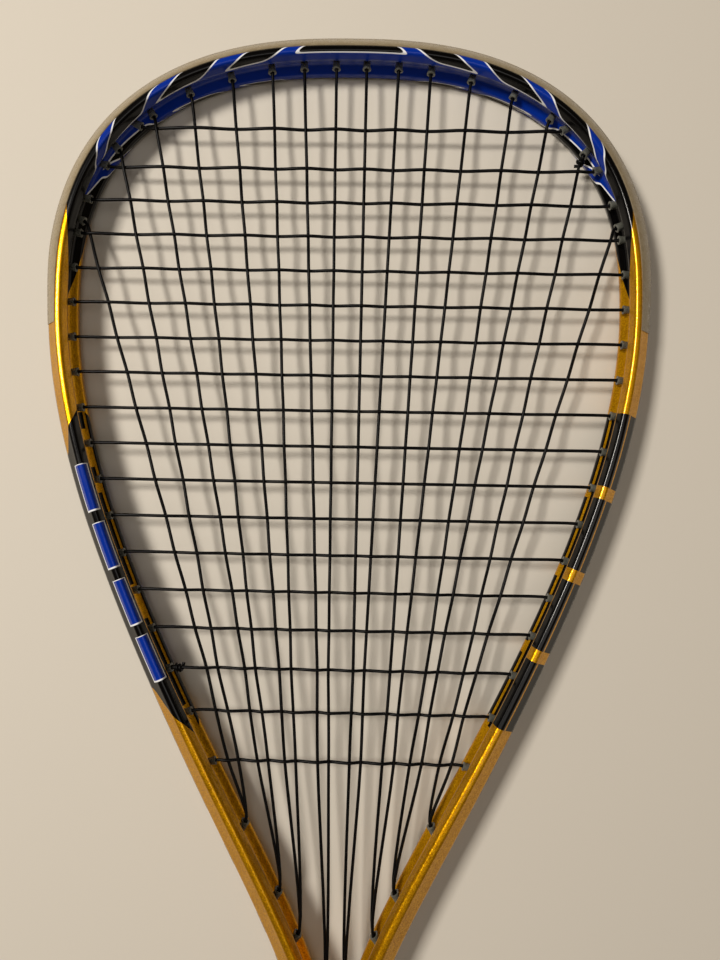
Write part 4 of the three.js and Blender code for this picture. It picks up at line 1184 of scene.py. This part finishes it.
def rounded_octagon(width, depth, place, steps, corner):
    """An eight-sided section with round corners, in the plane across the handle."""
    cut = (1 - FLAT_SHARE) * min(width, depth) / 2
    x, z = width / 2, depth / 2
    outline = [(x, z - cut), (x - cut, z), (cut - x, z), (-x, z - cut)]
    outline += [(-x, cut - z), (cut - x, -z), (x - cut, -z), (x, cut - z)]
    points = []
    for i, here in enumerate(np.array(outline)):
        a, b = (towards(here, outline[k], corner, 0.45) for k in (i - 1, (i + 1) % 8))
        for k in range(steps + 1):
            t = k / steps
            points.append((1 - t) ** 2 * a + 2 * (1 - t) * t * here + t * t * b)
    return [(px, place, pz) for px, pz in points]


def handle_loft(name, sections, material, corner, crease):
    """A solid through (place, width, depth) sections, crisp where it turns by the crease angle."""
    rings = [rounded_octagon(width, depth, y, LOFT_STEPS, corner) for y, width, depth in sections]
    return sharpen(outward(new_piece(name, *skin(rings), material)), crease)


def carve(piece, cutters):
    for cutter in cutters:
        modifier = piece.modifiers.new("cut", "BOOLEAN")
        modifier.object, modifier.operation, modifier.solver = cutter, "DIFFERENCE", "EXACT"
        mesh = evaluated_mesh(piece)
        piece.modifiers.remove(modifier)
        piece.data = mesh
        bpy.data.objects.remove(cutter)
    return piece


CAP_WIDTH, CAP_DEPTH, RIM_LENGTH = 38.0, 33.0, 8.0
TETHER_PITCH, TETHER_RADIUS = 9.0, 2.0
CORD_HOLE_ENDS, CORD_HOLE_SIDES = (-1.0, 6.0), 32
# Recessed end, rounded rim and the step down to the grip, as place and inset
CAP_INSETS = (
    (0.9, 12.0), (0.9, 7.6), (0.75, 7.2), (0.15, 6.8), (0.0, 6.4), (0.0, 4.4), (0.15, 3.2),
    (0.6, 1.9), (1.3, 0.9), (2.2, 0.3), (3.2, 0.0), (5.2, 0.0), (6.2, 0.3), (7.0, 1.0),
    (7.6, 2.2), (7.9, 3.6), (RIM_LENGTH, 5.0), (RIM_LENGTH, 9.0),
)


def cord_hole(side):
    """A round cutter for one of the wrist cord's two holes."""
    rings = []
    for place in CORD_HOLE_ENDS:
        turns = [2 * math.pi * k / CORD_HOLE_SIDES for k in range(CORD_HOLE_SIDES)]
        ring = [(TETHER_RADIUS * math.cos(t), TETHER_RADIUS * math.sin(t)) for t in turns]
        rings.append([(side * TETHER_PITCH / 2 + x, place, z) for x, z in ring])
    return outward(new_piece("cord_hole", *skin(rings), CAP_PLASTIC))


cap_sections = [(place, CAP_WIDTH - inset, CAP_DEPTH - inset) for place, inset in CAP_INSETS]
cap = handle_loft("flared_cap", cap_sections, CAP_PLASTIC, 5.0, 60)
cap = sharpen(carve(cap, [cord_hole(side) for side in (-1, 1)]), 40)
settle(cap, "cap_plastic", "butt_cap")

# Grip strip, wound with a lap: a row follows the strip, a column is a place around the handle
GRIP_START, GRIP_END, GRIP_PITCH = 8.3, 141.8, 25.0
GRIP_THICKNESS, GRIP_STEP, GRIP_GAP = 1.9, 0.55, 0.3
PALLET_WIDTH, PALLET_DEPTH = 26.0, 22.6
SKIRT_GROWTH, SKIRT_END, SKIRT_FADE = 3.2, 24.3, 6
GRIP_COLUMNS, GRIP_CORNER, GRIP_CREASE = 112, 3.4, 50
# Turns of the strip before the grip's start and after its end, which are pressed flat there
LEAD_TURNS, SPARE_TURNS = 2, 1
# Place across the strip, and rise of its surface as a share of the step at the lap
STRIP_RISE = [
    (0.0, 0.94), (0.004, 1.0), (0.1, 0.93), (0.2, 0.82), (0.3, 0.71), (0.4, 0.6), (0.45, 0.55),
    (0.468, 0.5), (0.478, 0.32), (0.5, 0.26), (0.522, 0.3), (0.532, 0.45), (0.55, 0.44),
    (0.65, 0.34), (0.75, 0.24), (0.85, 0.14), (0.93, 0.05), (0.962, 0.0), (0.972, -0.12),
    (0.98, 0.1), (0.984, 0.5), (0.99, 0.8),
]


def around_handle():
    """Even places around the pallet, as (x, z)."""
    outline = rounded_octagon(PALLET_WIDTH, PALLET_DEPTH, 0, GRIP_STEPS, GRIP_CORNER)
    outline = np.array([(x, z) for x, _, z in [*outline, outline[0]]])
    lengths = np.r_[0, np.cumsum(np.hypot(*np.diff(outline, axis=0).T))]
    places = np.arange(GRIP_COLUMNS) / GRIP_COLUMNS * lengths[-1]
    return np.array([np.interp(places, lengths, column) for column in outline.T]).T


def make_grip():
    turns = math.ceil((GRIP_END - GRIP_START) / GRIP_PITCH) + LEAD_TURNS + SPARE_TURNS
    rows = [(turn + share, rise * GRIP_STEP) for turn in range(turns) for share, rise in STRIP_RISE]
    each_turn = len(STRIP_RISE)
    first = GRIP_START - LEAD_TURNS * GRIP_PITCH
    points = []
    outline = around_handle()
    perimeter = 2 * (PALLET_WIDTH + PALLET_DEPTH)
    for phase, rise in rows:
        for k, (x, z) in enumerate(outline):
            place = first + GRIP_PITCH * (phase + k / GRIP_COLUMNS)
            flare = SKIRT_GROWTH * (1 - smoothstep(place, SKIRT_END, SKIRT_END + SKIRT_FADE))
            thick = 2 * (GRIP_GAP + GRIP_THICKNESS + rise) + flare
            x *= (PALLET_WIDTH + thick) / PALLET_WIDTH
            z *= (PALLET_DEPTH + thick) / PALLET_DEPTH
            points.append((x, min(max(place, GRIP_START), GRIP_END), z))
    faces, uvs = [], []
    for r in range(len(rows) - 1):
        whole = r // each_turn
        for k in range(GRIP_COLUMNS):
            if k + 1 == GRIP_COLUMNS and r + each_turn + 1 >= len(rows):
                continue
            corners = []
            for a, b in ((r, k), (r + 1, k), (r + 1, k + 1), (r, k + 1)):
                across = GRIP_PITCH * (rows[a][0] - whole)
                uvs.append((perimeter * (whole + b / GRIP_COLUMNS), across))
                # The last column joins the first one of the next turn
                turned = a + each_turn if b == GRIP_COLUMNS else a
                corners.append(turned * GRIP_COLUMNS + b % GRIP_COLUMNS)
            faces.append(tuple(corners))
    piece = new_piece("wound_grip", points, faces, GRIP_STRIP, uvs, "strip")
    return sharpen(piece, GRIP_CREASE)


settle(make_grip(), "grip", "grip_wrap")
WRAP_WIDTH, WRAP_DEPTH = 31.5, 28.1
TAPE_RISES = (
    (123.8, 0.3), (123.85, 1.2), (124.1, 1.55), (126, 1.6), (131, 1.5), (136, 1.6), (141.7, 1.6),
)
tape_sections = [(place, WRAP_WIDTH + rise, WRAP_DEPTH + rise) for place, rise in TAPE_RISES]
tape = handle_loft("grip_tape", tape_sections, VINYL_TAPE, 4.4, 40)
settle(tape, "finishing_tape", "grip_finishing_tape")
COLLAR_END = 148.4
COLLAR_SECTIONS = (
    (134.4, 33.4, 30.0), (134.4, 35.0, 31.6), (134.6, 35.7, 32.3), (135.0, 36.0, 32.6),
    (136.4, 36.0, 32.6), (136.6, 35.2, 31.8), (137.0, 35.0, 31.6), (137.4, 35.2, 31.8),
    (137.6, 36.0, 32.6), (138.8, 36.0, 32.6), (139.0, 35.2, 31.8), (139.4, 35.0, 31.6),
    (139.8, 35.2, 31.8), (140.0, 36.0, 32.6), (141.6, 35.9, 32.5), (142.6, 35.2, 31.4),
    (143.8, 33.6, 28.8), (145.2, 31.6, 25.2), (146.4, 30.4, 22.6), (147.6, 29.9, 21.4),
    (148.1, 29.6, 21.1), (COLLAR_END, 29.0, 20.5), (COLLAR_END, 27.6, 19.2),
)
collar = handle_loft("rubber_collar", COLLAR_SECTIONS, COLLAR_RUBBER, 4.6, 60)
settle(collar, "collar_rubber", "grip_collar")
for name, material in (("handle_pallet", PALLET_FOAM), ("crossover_tube", GROMMET_NYLON)):
    for slot_place in frame["nodes"][name].material_slots:
        slot_place.material = material


# Floor, light and camera

# The racket rests on its collar and its head, so that the floor comes up to the head
FLOOR_HALF, COLLAR_LOW, HEAD_REST_PLACE, FLOOR_ROOM = 2.0, -16.45, 549, 0.05
COLLAR_REST = row(0, COLLAR_END, COLLAR_LOW)
HEAD_REST = row(0, HEAD_REST_PLACE, -FRAME_DEPTH / 2 - FLOOR_ROOM)
FLOOR_SLOPE = (HEAD_REST.z - COLLAR_REST.z) / (HEAD_REST.y - COLLAR_REST.y)
floor_mesh = bpy.data.meshes.new("floor")
corners = [(x * FLOOR_HALF, y * FLOOR_HALF) for x, y in ((-1, -1), (1, -1), (1, 1), (-1, 1))]
corners = [(x, y, COLLAR_REST.z + (y - COLLAR_REST.y) * FLOOR_SLOPE) for x, y in corners]
floor_mesh.from_pydata(corners, [], [(0, 1, 2, 3)])
floor_mesh.materials.append(CLOTH)
floor = in_scene("floor", floor_mesh)


def area_lamp(name, place, size, power, colour):
    """A square lamp that points at the head."""
    lamp = bpy.data.lights.new(name, "AREA")
    lamp.size, lamp.energy, lamp.color = size, power, linear(colour)[:3]
    made = in_scene(name, lamp)
    made.location = place
    made.rotation_euler = (HEAD_CENTRE - Vector(place)).to_track_quat("-Z", "Y").to_euler()


HEAD_CENTRE = Vector((0, 0.1, 0.0165))
area_lamp("window_light", (-0.7, 0.42, 1.18), 0.28, 18, "#FFF8EE")
area_lamp("ceiling_light", (0.25, -0.1, 1.9), 1.2, 7, "#FFFAF4")

world = bpy.data.worlds.new("room")
world.use_nodes = True
dim_room = {"Color": "#B09672", "Strength": 0.18}
connect(world.node_tree, world.node_tree.nodes["Background"], dim_room)
bpy.context.scene.world = world

# The photograph's camera, from the places of the string's holes in it; focal length in pixels
CAMERA_PLACE, CAMERA_ROLL, CAMERA_YAW = (10.76, 381.5, 293.5), -1.05, -0.842
PHOTO_FOCAL, PHOTO_WIDTH, SENSOR_WIDTH = 721, 720, 36
roll = Matrix.Rotation(math.radians(CAMERA_ROLL), 3, "Z")
camera_turn = roll @ Matrix.Rotation(math.radians(CAMERA_YAW), 3, "Y")
lens = bpy.data.cameras.new("camera")
lens.sensor_fit = "HORIZONTAL"
lens.sensor_width = SENSOR_WIDTH
lens.lens = SENSOR_WIDTH * PHOTO_FOCAL / PHOTO_WIDTH
camera = in_scene("camera", lens)
camera.matrix_world = Matrix.Translation(row(*CAMERA_PLACE)) @ camera_turn.transposed().to_4x4()
bpy.context.scene.camera = camera
bpy.context.scene.view_settings.view_transform = "Standard"
